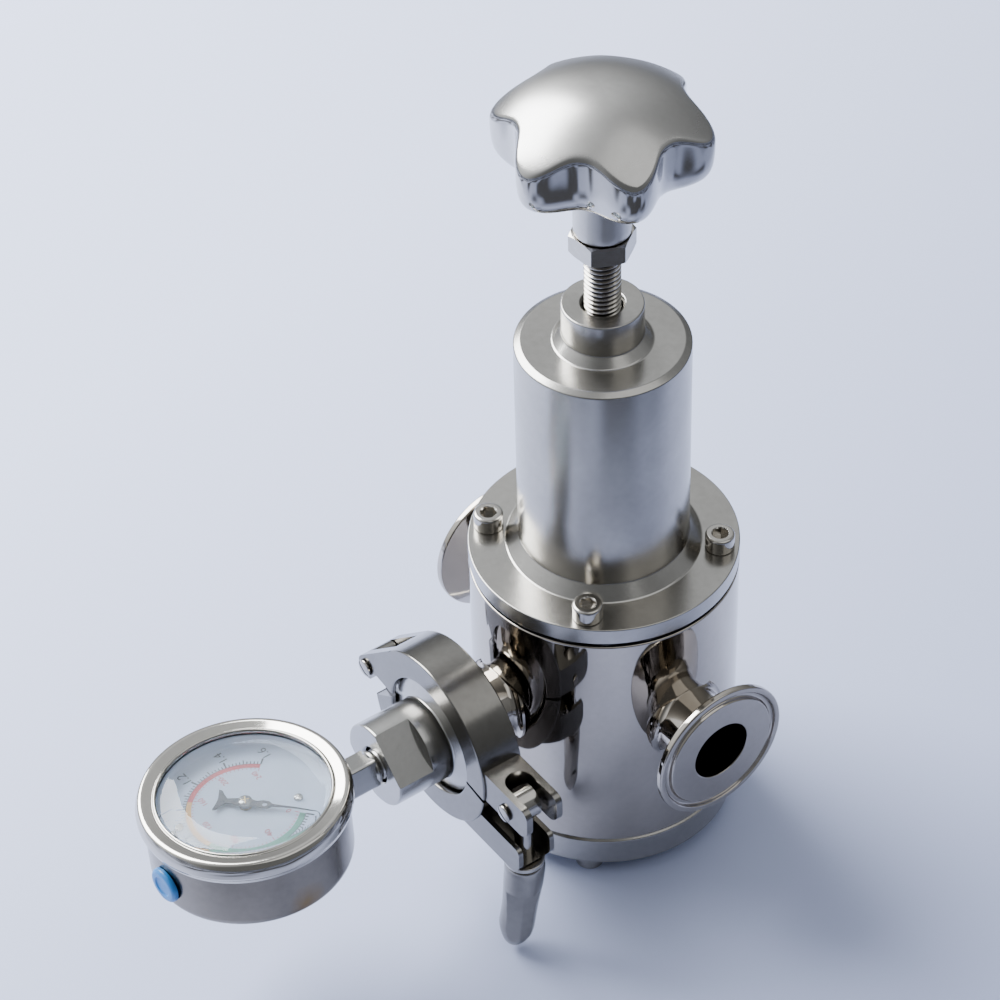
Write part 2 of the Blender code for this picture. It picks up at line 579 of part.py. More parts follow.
def build_gauge():
    frame = empty("gauge_frame", (0, GAUGE_Y, PORT_Z), (0, GAUGE_TILT, 0))
    wall = 1.4
    case = add("gauge_case", lathe([
        (0, CASE_H0), (CASE_R - 2.5, CASE_H0), (CASE_R - 0.7, CASE_H0 + 0.7), (CASE_R, CASE_H0 + 2.5),
        (CASE_R, CASE_H1 - 0.4), (CASE_R - wall, CASE_H1 - 0.4), (CASE_R - wall, CASE_H0 + 2.5),
        (CASE_R - 2.5 - 0.7, CASE_H0 + wall), (0, CASE_H0 + wall)], 28), SATIN, parent=frame)
    cut(case, cylinder(6.5, 25, 40, 20), rotation=(-90, 0, 0), parent=frame)
    cut(case, cylinder(5.2, 25, 40, 20), rotation=(90, 0, 5), parent=frame)

    add("gauge_bezel", lathe([
        (CASE_R - 1.2, CASE_H1), (BEZEL_R - 0.5, CASE_H1), (BEZEL_R, CASE_H1 + 0.5), (BEZEL_R, 16.2),
        (BEZEL_R - 0.8, 18.2), (33.4, BEZEL_H1), (31.0, BEZEL_H1 - 0.2), (GLASS_R, 18.0),
        (GLASS_R, 17.3), (CASE_R - 1.2, 17.3)], 28), STEEL, parent=frame)
    add("gauge_glass", lathe([
        (0, 14.6), (CASE_R - 1.6, 14.6), (CASE_R - 1.6, 17.0), (GLASS_R - 0.4, 17.0), (GLASS_R - 6, 18.2),
        (GLASS_R - 14, 19.0), (0, 19.4)], 24),
        dict(color=(0.95, 0.97, 0.98), metallic=0.0, rough=0.03, glass=1.0), parent=frame)
    add("window_gasket", lathe([(29.4, 12.2), (CASE_R - 1.6, 12.2), (CASE_R - 1.6, 14.3), (29.4, 14.3)], 20),
        BLACK_RUBBER, parent=frame)
    dial = add("gauge_dial", lathe([(2.2, 9.4), (29.0, 9.4), (29.0, 10.2), (2.2, 10.2)], 24),
               dict(color=(0.9, 0.9, 0.9), metallic=0.0, rough=0.5), parent=frame)
    for i, (angle, radius) in enumerate(((63.0, 17.0), (-105.0, 22.0))):
        x, y, _ = on_circle(radius, angle)
        cut(dial, cylinder(0.9, 9, 11, 10), location=(x, y, 0), parent=frame)
        pin = [(0, 8.0), (0.6, 8.0), (0.6, 10.5), (1.5, 10.5), (1.3, 11.2), (0, 11.2)]
        add("dial_screw_%d" % (i + 1), lathe(pin, 12), STEEL, location=(x, y, 0), parent=frame)
    build_pointer(frame)
    build_movement(frame)
    build_socket(frame)
    plug = [(0, 30.5), (4.4, 30.5), (4.9, 31.2), (4.9, 34.2), (6.2, 34.2), (6.2, 35.0), (5.4, 35.9),
            (0, 36.2)]
    add("vent_plug", lathe(plug, 14), dict(color=(0.05, 0.22, 0.62), metallic=0.0, rough=0.4),
        rotation=(90, 0, 5), parent=frame)


def build_pointer(frame):
    zero = empty("pointer_axis", (0, 0, 0), (0, 0, ZERO_DEG), parent=frame)
    outline = [(23.5, 0.0), (3.2, 1.2)]
    outline += [(2.4 * math.cos(math.radians(a)), 2.4 * math.sin(math.radians(a))) for a in (55, 90, 125)]
    outline += [(-7.5, 0.9), (-9.2, 2.6), (-10.2, 2.2), (-10.8, 0.0)]
    outline += [(x, -y) for x, y in reversed(outline[1:-1])]
    pointer = add("gauge_pointer", prism(outline, 11.5, 12.1), BLACK_RUBBER, parent=zero)
    cut(pointer, cylinder(1.2, 11, 13, 12), parent=zero)
    add("pinion_arbor", lathe([
        (0, -1.0), (0.8, -1.0), (0.8, 1.4), (2.2, 1.4), (2.2, 4.2), (0.9, 4.2), (0.9, 12.4), (1.6, 12.4),
        (1.4, 13.2), (0, 13.2)], 12), dict(color=(0.75, 0.56, 0.25), metallic=1.0, rough=0.3), parent=zero)


def build_movement(frame):
    """Two brass plates on pillars carry the pinion and the toothed sector."""
    brass = dict(color=(0.75, 0.56, 0.25), metallic=1.0, rough=0.3)
    plates = add("movement_frame", box(-8.0, 13.2, -5.0, 14.0, -2.8, -1.6), brass, parent=frame)
    join(plates, box(-8.0, 13.2, -5.0, 14.0, 6.4, 7.6), parent=frame)
    for x, y in ((-6.2, -3.2), (11.4, -3.2), (-6.2, 12.2), (11.4, 12.4)):
        join(plates, cylinder(1.2, -2.2, 7.0, 10), location=(x, y, 0), parent=frame)
    cut(plates, cylinder(1.3, 5, 9, 12), parent=frame)
    cut(plates, cylinder(1.2, -2.2, 0, 12), parent=frame)
    cut(plates, cylinder(1.1, -2.2, 0, 12), location=(3.0, 8.6, 0), parent=frame)
    cut(plates, cylinder(1.1, 5, 7.0, 12), location=(3.0, 8.6, 0), parent=frame)

    sector_axis = empty("sector_axis", (3.0, 8.6, 0), parent=frame)
    reach = math.hypot(3.0, 8.6) - 2.2 - GAP
    toward = math.atan2(-8.6, -3.0)
    outline = [on_circle(reach, math.degrees(toward) + a)[:2] for a in range(-102, 7, 9)]
    outline += [on_circle(1.6, math.degrees(toward) - 48 + a)[:2] for a in (100, 180, 260)]
    sector = add("sector_gear", prism(outline, 2.0, 3.4), brass, parent=sector_axis)
    join(sector, cylinder(0.8, -1.4, 6.0, 12), parent=sector_axis)

    centres, frames = [], []
    for i in range(25):
        angle = math.radians(62 - 250 * i / 24)
        radial = Vector((math.cos(angle), math.sin(angle), 0))
        centres.append(radial * 20.5 + Vector((0, 0, 2.0)))
        frames.append((radial, Vector((0, 0, 1))))
    section = [(1.5, -3.4), (1.5, 3.4), (0.9, 4.2), (-0.9, 4.2),
               (-1.5, 3.4), (-1.5, -3.4), (-0.9, -4.2), (0.9, -4.2)]
    add("bourdon_tube", sweep_tube(centres, frames, section), brass, parent=frame)


def build_socket(frame):
    """Gauge stem: inner block, round neck through the case, square shank and thread."""
    turn = dict(rotation=(-90, 0, 0), parent=frame)
    block = [(-7.4, -6.0), (7.4, -6.0), (7.4, 6.0), (-7.4, 6.0)]
    socket = add("gauge_socket", prism(block, 18.0, 30.6), STEEL, **turn)
    join(socket, cylinder(6.1, 30.0, 36.0, 16), **turn)
    flats = [(-5, -4.3), (-4.3, -5), (4.3, -5), (5, -4.3), (5, 4.3), (4.3, 5), (-4.3, 5), (-5, 4.3)]
    c, s = math.cos(math.radians(STEM_TURN)), math.sin(math.radians(STEM_TURN))
    square = [(x * c - y * s, x * s + y * c) for x, y in flats]
    join(socket, prism(square, 35.0, 48.7), **turn)
    join(socket, cylinder(6.1, 48.0, 63.0, 16, 0.6), **turn)
    # pressure passage up the stem
    cut(socket, cylinder(2.0, 24.0, 64.0, 12), **turn)


def main():
    clear_scene()
    build_body()
    build_ferrules()
    build_cover()
    build_screws()
    build_bonnet()
    build_spindle_group()
    build_trim()
    build_clamp()
    build_adaptor()
    build_gauge()


main()
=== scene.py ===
"""Looks of the pressure reducing valve: detailed pieces, materials, floor, light and camera.

Pieces are drawn in millimetres round their own axis, turned into metres by MM, and stood
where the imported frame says. Angles are in degrees.
"""
import json
import math

import bmesh
import bpy
from mathutils import Matrix, Vector


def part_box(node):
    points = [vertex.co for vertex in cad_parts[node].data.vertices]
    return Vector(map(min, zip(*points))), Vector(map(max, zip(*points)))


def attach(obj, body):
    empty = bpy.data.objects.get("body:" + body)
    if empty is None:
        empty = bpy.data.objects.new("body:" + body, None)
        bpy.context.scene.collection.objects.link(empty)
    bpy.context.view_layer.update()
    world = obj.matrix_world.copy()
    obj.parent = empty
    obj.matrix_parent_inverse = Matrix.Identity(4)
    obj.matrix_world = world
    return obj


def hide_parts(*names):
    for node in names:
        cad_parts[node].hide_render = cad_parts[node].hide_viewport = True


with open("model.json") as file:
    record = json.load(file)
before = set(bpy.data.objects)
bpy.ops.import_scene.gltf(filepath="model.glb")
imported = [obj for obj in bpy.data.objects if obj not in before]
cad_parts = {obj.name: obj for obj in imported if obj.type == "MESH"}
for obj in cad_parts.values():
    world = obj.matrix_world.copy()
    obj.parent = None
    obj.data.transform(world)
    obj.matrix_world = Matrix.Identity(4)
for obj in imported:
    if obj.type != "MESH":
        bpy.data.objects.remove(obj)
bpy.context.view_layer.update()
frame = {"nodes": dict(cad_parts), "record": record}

MM = 0.001
GAP = 0.3                        # clearance between touching CAD pieces


def span(node_name):
    """Lowest and highest corner of a CAD node in millimetres."""
    low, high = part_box(node_name)
    return low / MM, high / MM


def middle(node_name):
    low, high = span(node_name)
    return (low + high) / 2


# ---------------------------------------------------------------- places from the frame
BODY_LOW, BODY_HIGH = span("body_shell")
BODY_R = BODY_HIGH.x
COVER_TOP = BODY_LOW.z - GAP
FLANGE_Z0 = span("bonnet")[0].z
BOSS_TOP = span("bonnet")[1].z
HEAD_H = 5.8                     # M6 cap screw head
HEAD_R = 5.0
FLANGE_Z1 = span("bonnet_screw_1")[1].z - HEAD_H - GAP
BONNET_R = 28.5
BONNET_TOP = BOSS_TOP - 14.6
PORT_Z = middle("inlet_ferrule").z
PORT_FACE = span("inlet_ferrule")[1].x
FERRULE_R = span("inlet_ferrule")[1].z - PORT_Z
PORT_BORE_R = 10.9
NECK_R = 12.7
ADAPTOR_FACE = -span("gauge_adaptor")[1].y
ADAPTOR_END = -span("gauge_adaptor")[0].y
CLAMP = middle("clamp_upper_half")
CLAMP_R = span("clamp_upper_half")[1].z - PORT_Z
CLAMP_HALF_W = (span("clamp_upper_half")[1].y - span("clamp_upper_half")[0].y) / 2
HINGE = middle("clamp_hinge_pin")
BOLT = middle("bolt_pin")
COLLAR_LOW, COLLAR_HIGH = span("thrust_collar")
HANDLE_TOP = span("handle_nut")[1].z
GAUGE_Y = middle("gauge_bezel").y
GAUGE_TILT = -4.2
KNOB_LOW, KNOB_HIGH = span("star_knob")
NUT_LOW, NUT_HIGH = span("jam_nut")
SPINDLE_LOW, SPINDLE_HIGH = span("adjusting_screw")
BOLT_ANGLES = (45, 135, 225, 315)


# ---------------------------------------------------------------- mesh helpers
def polar(radius, degrees):
    angle = math.radians(degrees)
    return Vector((radius * math.cos(angle), radius * math.sin(angle)))


def rounded(corners, steps=4, closed=False):
    """An outline from corners (x, y) that stay sharp and (x, y, radius) that are rounded."""
    points = []
    count = len(corners)
    for i, corner in enumerate(corners):
        here = Vector(corner[:2])
        if len(corner) < 3 or (not closed and i in (0, count - 1)):
            points.append(here)
            continue
        before = Vector(corners[i - 1][:2]) - here
        after = Vector(corners[(i + 1) % count][:2]) - here
        reach = min(corner[2], 0.48 * before.length, 0.48 * after.length)
        start = here + before.normalized() * reach
        end = here + after.normalized() * reach
        for k in range(steps + 1):
            t = k / steps
            points.append(start * (1 - t) ** 2 + here * 2 * t * (1 - t) + end * t * t)
    return points


def turned(corners, segments=144, start=0.0, sweep=360.0, steps=4):
    """Solid of revolution about Z. The outline ends on the axis, or closes on itself."""
    on_axis = abs(corners[0][0]) < 1e-6
    outline = rounded(corners, steps, closed=not on_axis)
    whole = sweep >= 360.0
    bm = bmesh.new()
    columns = []
    poles = {}
    for i in range(segments + (0 if whole else 1)):
        angle = math.radians(start + sweep * i / segments)
        column = []
        for k, (r, z) in enumerate(outline):
            if r < 1e-6:
                if k not in poles:
                    poles[k] = bm.verts.new((0, 0, z))
                column.append(poles[k])
            else:
                column.append(bm.verts.new((r * math.cos(angle), r * math.sin(angle), z)))
        columns.append(column)
    rows = len(outline)
    last_row = rows - 1 if on_axis else rows
    for i in range(segments):
        a, b = columns[i], columns[(i + 1) % len(columns)]
        for k in range(last_row):
            m = (k + 1) % rows
            face = []
            for vert in (a[k], b[k], b[m], a[m]):
                if vert not in face:
                    face.append(vert)
            if len(face) > 2:
                bm.faces.new(face)
    if not whole:
        bm.faces.new(columns[0])
        bm.faces.new(columns[-1])
    bmesh.ops.recalc_face_normals(bm, faces=bm.faces)
    return bm


def prism(outline, low, high):
    """Closed prism along Z over an outline."""
    bm = bmesh.new()
    bottom = [bm.verts.new((x, y, low)) for x, y in outline]
    top = [bm.verts.new((x, y, high)) for x, y in outline]
    count = len(bottom)
    bm.faces.new(bottom)
    bm.faces.new(top)
    for i in range(count):
        j = (i + 1) % count
        bm.faces.new((bottom[i], bottom[j], top[j], top[i]))
    bmesh.ops.recalc_face_normals(bm, faces=bm.faces)
    return bm


def disc(radius, low, high, segments=64, centre=(0, 0)):
    return prism([polar(radius, 360 * i / segments) + Vector(centre) for i in range(segments)], low, high)


def block(x0, x1, y0, y1, z0, z1):
    return prism([(x0, y0), (x1, y0), (x1, y1), (x0, y1)], z0, z1)


def hexagon(across_flats, turn=0.0):
    return [polar(across_flats / math.sqrt(3), turn + 60 * k) for k in range(6)]


def loft(rings, closed_ends=True):
    """Skin over rings of points that all have the same count."""
    bm = bmesh.new()
    rows = [[bm.verts.new(p) for p in ring] for ring in rings]
    count = len(rows[0])
    for low, high in zip(rows, rows[1:]):
        for i in range(count):
            j = (i + 1) % count
            bm.faces.new((low[i], low[j], high[j], high[i]))
    if closed_ends:
        bm.faces.new(rows[0])
        bm.faces.new(rows[-1])
    bmesh.ops.recalc_face_normals(bm, faces=bm.faces)
    return bm


def turn_bm(bm, axis, degrees, centre=(0, 0, 0)):
    matrix = Matrix.Rotation(math.radians(degrees), 3, axis)
    bmesh.ops.rotate(bm, verts=bm.verts, cent=centre, matrix=matrix)
    return bm


def shift_bm(bm, x=0.0, y=0.0, z=0.0):
    bmesh.ops.translate(bm, verts=bm.verts, vec=(x, y, z))
    return bm


def to_object(name, bm):
    bmesh.ops.scale(bm, vec=(MM, MM, MM), verts=bm.verts)
    mesh = bpy.data.meshes.new(name)
    bm.to_mesh(mesh)
    bm.free()
    obj = bpy.data.objects.new(name, mesh)
    bpy.context.scene.collection.objects.link(obj)
    return obj


def applied(obj):
    """Replace an object's mesh by what its modifiers make of it."""
    bpy.context.view_layer.update()
    graph = bpy.context.evaluated_depsgraph_get()
    mesh = bpy.data.meshes.new_from_object(obj.evaluated_get(graph))
    obj.modifiers.clear()
    old = obj.data
    obj.data = mesh
    bpy.data.meshes.remove(old)
    return obj


def combine(obj, bm, operation):
    """Boolean of an object with a mesh drawn in the same millimetre frame."""
    tool = to_object(obj.name + "_tool", bm)
    modifier = obj.modifiers.new("combine", "BOOLEAN")
    modifier.operation = operation
    modifier.solver = "EXACT"
    modifier.object = tool
    applied(obj)
    mesh = tool.data
    bpy.data.objects.remove(tool, do_unlink=True)
    bpy.data.meshes.remove(mesh)
    return obj


def cut(obj, *shapes):
    for bm in shapes:
        combine(obj, bm, "DIFFERENCE")
    return obj


def join(obj, *shapes):
    for bm in shapes:
        combine(obj, bm, "UNION")
    return obj


def soften(obj, width, segments=2, angle=30.0):
    """Small bevel on every edge that is sharper than angle."""
    modifier = obj.modifiers.new("soften", "BEVEL")
    modifier.width = width * MM
    modifier.segments = segments
    modifier.limit_method = "ANGLE"
    modifier.angle_limit = math.radians(angle)
    modifier.use_clamp_overlap = True
    return obj


def finish_piece(obj, slot, body, nodes=(), at=(0, 0, 0), turn=(0, 0, 0), parent=None, sharp=40.0, mat=None):
    """Shade a piece, stand it in its place, and let it ride on its body and stand for its nodes."""
    obj.data.shade_smooth()
    obj.data.set_sharp_from_angle(angle=math.radians(sharp))
    normals = obj.modifiers.new("even_normals", "WEIGHTED_NORMAL")
    normals.keep_sharp = True
    normals.weight = 90
    obj.data.materials.clear()
    obj.data.materials.append(mat or LOOKS[slot])
    local = Matrix.Translation(Vector(at) * MM)
    for axis, degrees in zip("ZYX", reversed(turn)):
        local = local @ Matrix.Rotation(math.radians(degrees), 4, axis)
    obj.matrix_world = (parent or Matrix.Identity(4)) @ local
    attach(obj, body)
    if nodes:
        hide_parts(*nodes)
    return obj


# ---------------------------------------------------------------- materials
class Shader:
    """A Principled material and the nodes that feed it, in the piece's own coordinates."""

    def __init__(self, name):
        self.material = bpy.data.materials.new(name)
        self.material.use_nodes = True
        self.tree = self.material.node_tree
        self.bsdf = self.tree.nodes["Principled BSDF"]
        coordinates = self.tree.nodes.new("ShaderNodeTexCoord")
        self.place = coordinates.outputs["Object"]

    def node(self, kind, inputs=None, **settings):
        made = self.tree.nodes.new(kind)
        for key, value in settings.items():
            setattr(made, key, value)
        for key, value in (inputs or {}).items():
            self.feed(made.inputs[key], value)
        return made

    def feed(self, socket, value):
        if isinstance(value, bpy.types.NodeSocket):
            self.tree.links.new(value, socket)
        else:
            socket.default_value = value

    def set(self, **values):
        """Constants on the shader's own sockets; underscores stand for spaces."""
        for key, value in values.items():
            self.bsdf.inputs[key.replace("_", " ")].default_value = value

    def math(self, operation, a, b=0.0):
        return self.node("ShaderNodeMath", {0: a, 1: b}, operation=operation).outputs[0]

    def stretched(self, x, y, z):
        return self.node("ShaderNodeVectorMath", {0: self.place, 1: (x, y, z)},
                         operation="MULTIPLY").outputs[0]

    def measured(self, operation, vector):
        """Distance from a point in metres, or dot product with a direction."""
        return self.node("ShaderNodeVectorMath", {0: self.place, 1: tuple(vector)},
                         operation=operation).outputs["Value"]

    def part(self, vector, axis):
        return self.node("ShaderNodeSeparateXYZ", {0: vector}).outputs[axis]

    def turned_place(self, along=1.0):
        """Coordinates that follow the tool on a lathe: radius and height, not the angle."""
        parts = self.node("ShaderNodeSeparateXYZ", {0: self.place}).outputs
        square = self.math("ADD", self.math("MULTIPLY", parts["X"], parts["X"]),
                           self.math("MULTIPLY", parts["Y"], parts["Y"]))
        radius = self.math("SQRT", square)
        height = self.math("MULTIPLY", parts["Z"], along)
        return self.node("ShaderNodeCombineXYZ", {"X": radius, "Y": height}).outputs[0]

    def noise(self, vector, scale, detail=3.0, rough=0.55):
        inputs = {"Vector": vector, "Scale": scale, "Detail": detail, "Roughness": rough}
        return self.node("ShaderNodeTexNoise", inputs).outputs["Fac"]

    def ranged(self, value, low, high, start=0.3, end=0.7):
        inputs = {"Value": value, "From Min": start, "From Max": end, "To Min": low, "To Max": high}
        return self.node("ShaderNodeMapRange", inputs).outputs["Result"]

    def mixed(self, factor, a, b):
        mix = self.node("ShaderNodeMix", data_type="RGBA")
        self.feed(mix.inputs["Factor"], factor)
        self.feed(mix.inputs["A"], (*a, 1.0) if isinstance(a, tuple) else a)
        self.feed(mix.inputs["B"], (*b, 1.0) if isinstance(b, tuple) else b)
        return mix.outputs["Result"]

    def bump(self, height, distance, strength=1.0, below=None):
        inputs = {"Height": height, "Distance": distance, "Strength": strength}
        if below is not None:
            inputs["Normal"] = below
        return self.node("ShaderNodeBump", inputs).outputs["Normal"]

    def wire(self, **values):
        for key, value in values.items():
            self.feed(self.bsdf.inputs[key.replace("_", " ")], value)
        return self.material


def metal(name, light, dark, smooth, rough, grain=None, grain_depth=0.0, wave_depth=0.0, aniso=0.0,
          stain=None, top_satin=None, groove=None):
    """Stainless steel. grain is turned, brushed or none; waves are the polisher's soft ripples."""
    s = Shader(name)
    s.set(Metallic=1.0, Anisotropic=aniso)
    smudge = s.noise(s.place, 38.0, 4.0, 0.6)
    fine = s.noise(s.place, 420.0, 2.0)
    if grain == "turned":
        lines = s.noise(s.turned_place(), 5200.0, 2.0, 0.7)
    elif grain == "brushed":
        lines = s.noise(s.stretched(1.0, 1.0, 0.03), 3800.0, 2.0, 0.7)
    else:
        lines = s.noise(s.stretched(1.0, 0.18, 0.6), 2600.0, 2.0, 0.7)
    worn = s.math("ADD", s.math("MULTIPLY", smudge, 0.55), s.math("MULTIPLY", lines, 0.45))
    color = s.mixed(s.ranged(s.math("ADD", s.math("MULTIPLY", smudge, 0.7), s.math("MULTIPLY", fine, 0.3)),
                             0.0, 1.0), light, dark)
    if stain:
        centre, radius, tint = stain
        away = s.measured("DISTANCE", Vector(centre) * MM)
        edge = s.math("ADD", away, s.math("MULTIPLY", s.math("SUBTRACT", smudge, 0.5), 0.02))
        color = s.mixed(s.ranged(edge, 0.75, 0.0, 0.0, radius * MM), color, tint)
    # painted shade: the thread's roots are darkened toward a dark brown, deepest at the root radius
    if groove:
        radius = s.part(s.turned_place(), "X")
        root, crest = groove
        color = s.mixed(s.ranged(radius, 0.9, 0.0, root * MM, crest * MM), color, (0.06, 0.05, 0.038))
    normal = s.bump(lines, grain_depth * MM)
    if wave_depth:
        normal = s.bump(s.noise(s.place, 26.0, 1.0, 0.4), wave_depth * MM, 1.0, normal)
    gloss = s.ranged(worn, smooth, rough)
    if top_satin:
        facing = s.part(s.node("ShaderNodeNewGeometry").outputs["Normal"], "Z")
        gloss = s.math("MAXIMUM", gloss, s.ranged(s.math("ADD", facing, s.math("MULTIPLY", worn, 0.1)),
                                                  smooth, top_satin, 0.55, 0.9))
        # the hub round the axis is left as turned
        radius = s.part(s.turned_place(), "X")
        gloss = s.math("MAXIMUM", gloss, s.ranged(radius, top_satin, smooth, 0.0094, 0.0100))
    return s.wire(Base_Color=color, Roughness=gloss, Normal=normal)


def plain(name, light, dark, smooth, rough, scale=260.0, depth=0.02, **constants):
    """Rubber, plastic, enamel: mottled colour, uneven gloss and a fine moulded skin."""
    s = Shader(name)
    s.set(**constants)
    mottle = s.noise(s.place, scale, 4.0, 0.6)
    broad = s.noise(s.place, scale * 0.12, 2.0)
    color = s.mixed(s.ranged(s.math("MULTIPLY", s.math("ADD", mottle, broad), 0.5), 0.0, 1.0), light, dark)
    return s.wire(Base_Color=color, Roughness=s.ranged(mottle, smooth, rough),
                  Normal=s.bump(mottle, depth * MM))


def clear_glass(name):
    s = Shader(name)
    s.set(Base_Color=(0.90, 0.94, 0.98, 1.0), IOR=1.36)
    haze = s.noise(s.place, 90.0, 3.0)
    dust = s.noise(s.place, 31.0, 2.0)
    return s.wire(Roughness=s.ranged(haze, 0.0, 0.04, 0.45, 0.8),
                  Transmission_Weight=s.ranged(dust, 0.97, 0.91))


STAIN = (33.5, -0.5, -5.3)       # heat mark on the gauge case, in the gauge's own millimetres
WARM = (0.47, 0.435, 0.385)
WARM_DARK = (0.40, 0.365, 0.32)
GREY = (0.44, 0.425, 0.395)
GREY_DARK = (0.35, 0.335, 0.31)

LOOKS = {
    "body_mirror": metal("body_mirror", WARM, WARM_DARK, 0.03, 0.075, wave_depth=0.010, grain_depth=0.0005),
    "port_mirror": metal("port_mirror", WARM, WARM_DARK, 0.05, 0.11, "turned", 0.0010, 0.008),
    "turned_steel": metal("turned_steel", GREY, GREY_DARK, 0.19, 0.27, "turned", 0.003, 0.0, 0.25),
    "clamp_steel": metal("clamp_steel", (0.24, 0.23, 0.21), (0.18, 0.17, 0.155), 0.15, 0.23, None,
                         0.0018, 0.012),
    "adaptor_steel": metal("adaptor_steel", (0.47, 0.46, 0.435), (0.39, 0.38, 0.36), 0.18, 0.26, "turned",
                           0.003, 0.0, 0.45),
    "gauge_steel": metal("gauge_steel", (0.25, 0.225, 0.19), (0.19, 0.17, 0.145), 0.18, 0.26, "brushed",
                         0.0008, stain=(STAIN, 8.5, (0.22, 0.14, 0.05))),
    "bezel_steel": metal("bezel_steel", (0.57, 0.545, 0.50), (0.50, 0.475, 0.43), 0.05, 0.11, "turned",
                         0.0012),
    "bright_steel": metal("bright_steel", (0.47, 0.45, 0.415), (0.36, 0.34, 0.31), 0.10, 0.20, "turned",
                          0.002),
    # the thread steel carries painted shade in its thread roots
    "thread_steel": metal("thread_steel", (0.50, 0.475, 0.43), (0.40, 0.375, 0.335), 0.14, 0.24, None, 0.001,
                          groove=(5.0, 5.75)),
    "screw_steel": metal("screw_steel", (0.53, 0.505, 0.465), (0.36, 0.34, 0.305), 0.10, 0.20, None, 0.002),
    "spring_steel": metal("spring_steel", (0.50, 0.50, 0.50), (0.38, 0.38, 0.38), 0.25, 0.4, None, 0.003),
    "knob_polish": metal("knob_polish", (0.52, 0.505, 0.48), (0.45, 0.435, 0.41), 0.06, 0.13, None,
                         0.0006, 0.02, top_satin=0.30),
    "handle_polish": metal("handle_polish", (0.29, 0.275, 0.25), (0.23, 0.215, 0.195), 0.06, 0.12, None,
                           0.0006, 0.015),
    "movement_brass": metal("movement_brass", (0.75, 0.56, 0.26), (0.60, 0.42, 0.17), 0.22, 0.36, "brushed",
                            0.003),
    "black_rubber": plain("black_rubber", (0.022, 0.022, 0.024), (0.012, 0.012, 0.013), 0.55, 0.75),
    "white_seal": plain("white_seal", (0.84, 0.84, 0.81), (0.74, 0.74, 0.71), 0.38, 0.55),
    "window_glass": clear_glass("window_glass"),
    # painted reflection: the white dial is coloured blue-grey, standing for the pale sky reflected in the
    # window over it
    "dial_white": plain("dial_white", (0.60, 0.67, 0.79), (0.53, 0.60, 0.73), 0.42, 0.55, 500.0, 0.002),
    "pointer_black": plain("pointer_black", (0.05, 0.055, 0.065), (0.03, 0.034, 0.042), 0.22, 0.36,
                           600.0, 0.004),
    "blue_plastic": plain("blue_plastic", (0.035, 0.24, 0.60), (0.02, 0.17, 0.47), 0.28, 0.42, 300.0, 0.02),
}


# ---------------------------------------------------------------- body, ports and cover
def saddle(neck_r, flare, body_r):
    """Weld between a port neck (along Z) and the round body (axis X here): a hollow fillet."""
    steps, around = 6, 96
    rings = []
    for i in range(around):
        angle = 2 * math.pi * i / around

        def on_body(r):
            return math.sqrt(body_r ** 2 - (r * math.sin(angle)) ** 2)

        outer, inner = neck_r + flare, neck_r - 0.6
        ring = [(inner, on_body(inner) - 1.2), (outer, on_body(outer) - 1.0), (outer, on_body(outer) + 0.02)]
        for k in range(1, steps):
            t = k / steps
            r = outer * (1 - t) ** 2 + neck_r * (2 * t * (1 - t) + t * t) + 0.04 * (1 - t)
            z = on_body(r) + flare * t * t
            ring.append((r, z))
        ring += [(neck_r + 0.02, on_body(neck_r) + flare), (inner, on_body(inner) + flare)]
        rings.append([(r * math.cos(angle), r * math.sin(angle), z) for r, z in ring])
    return loft(rings + [rings[0]], closed_ends=False)


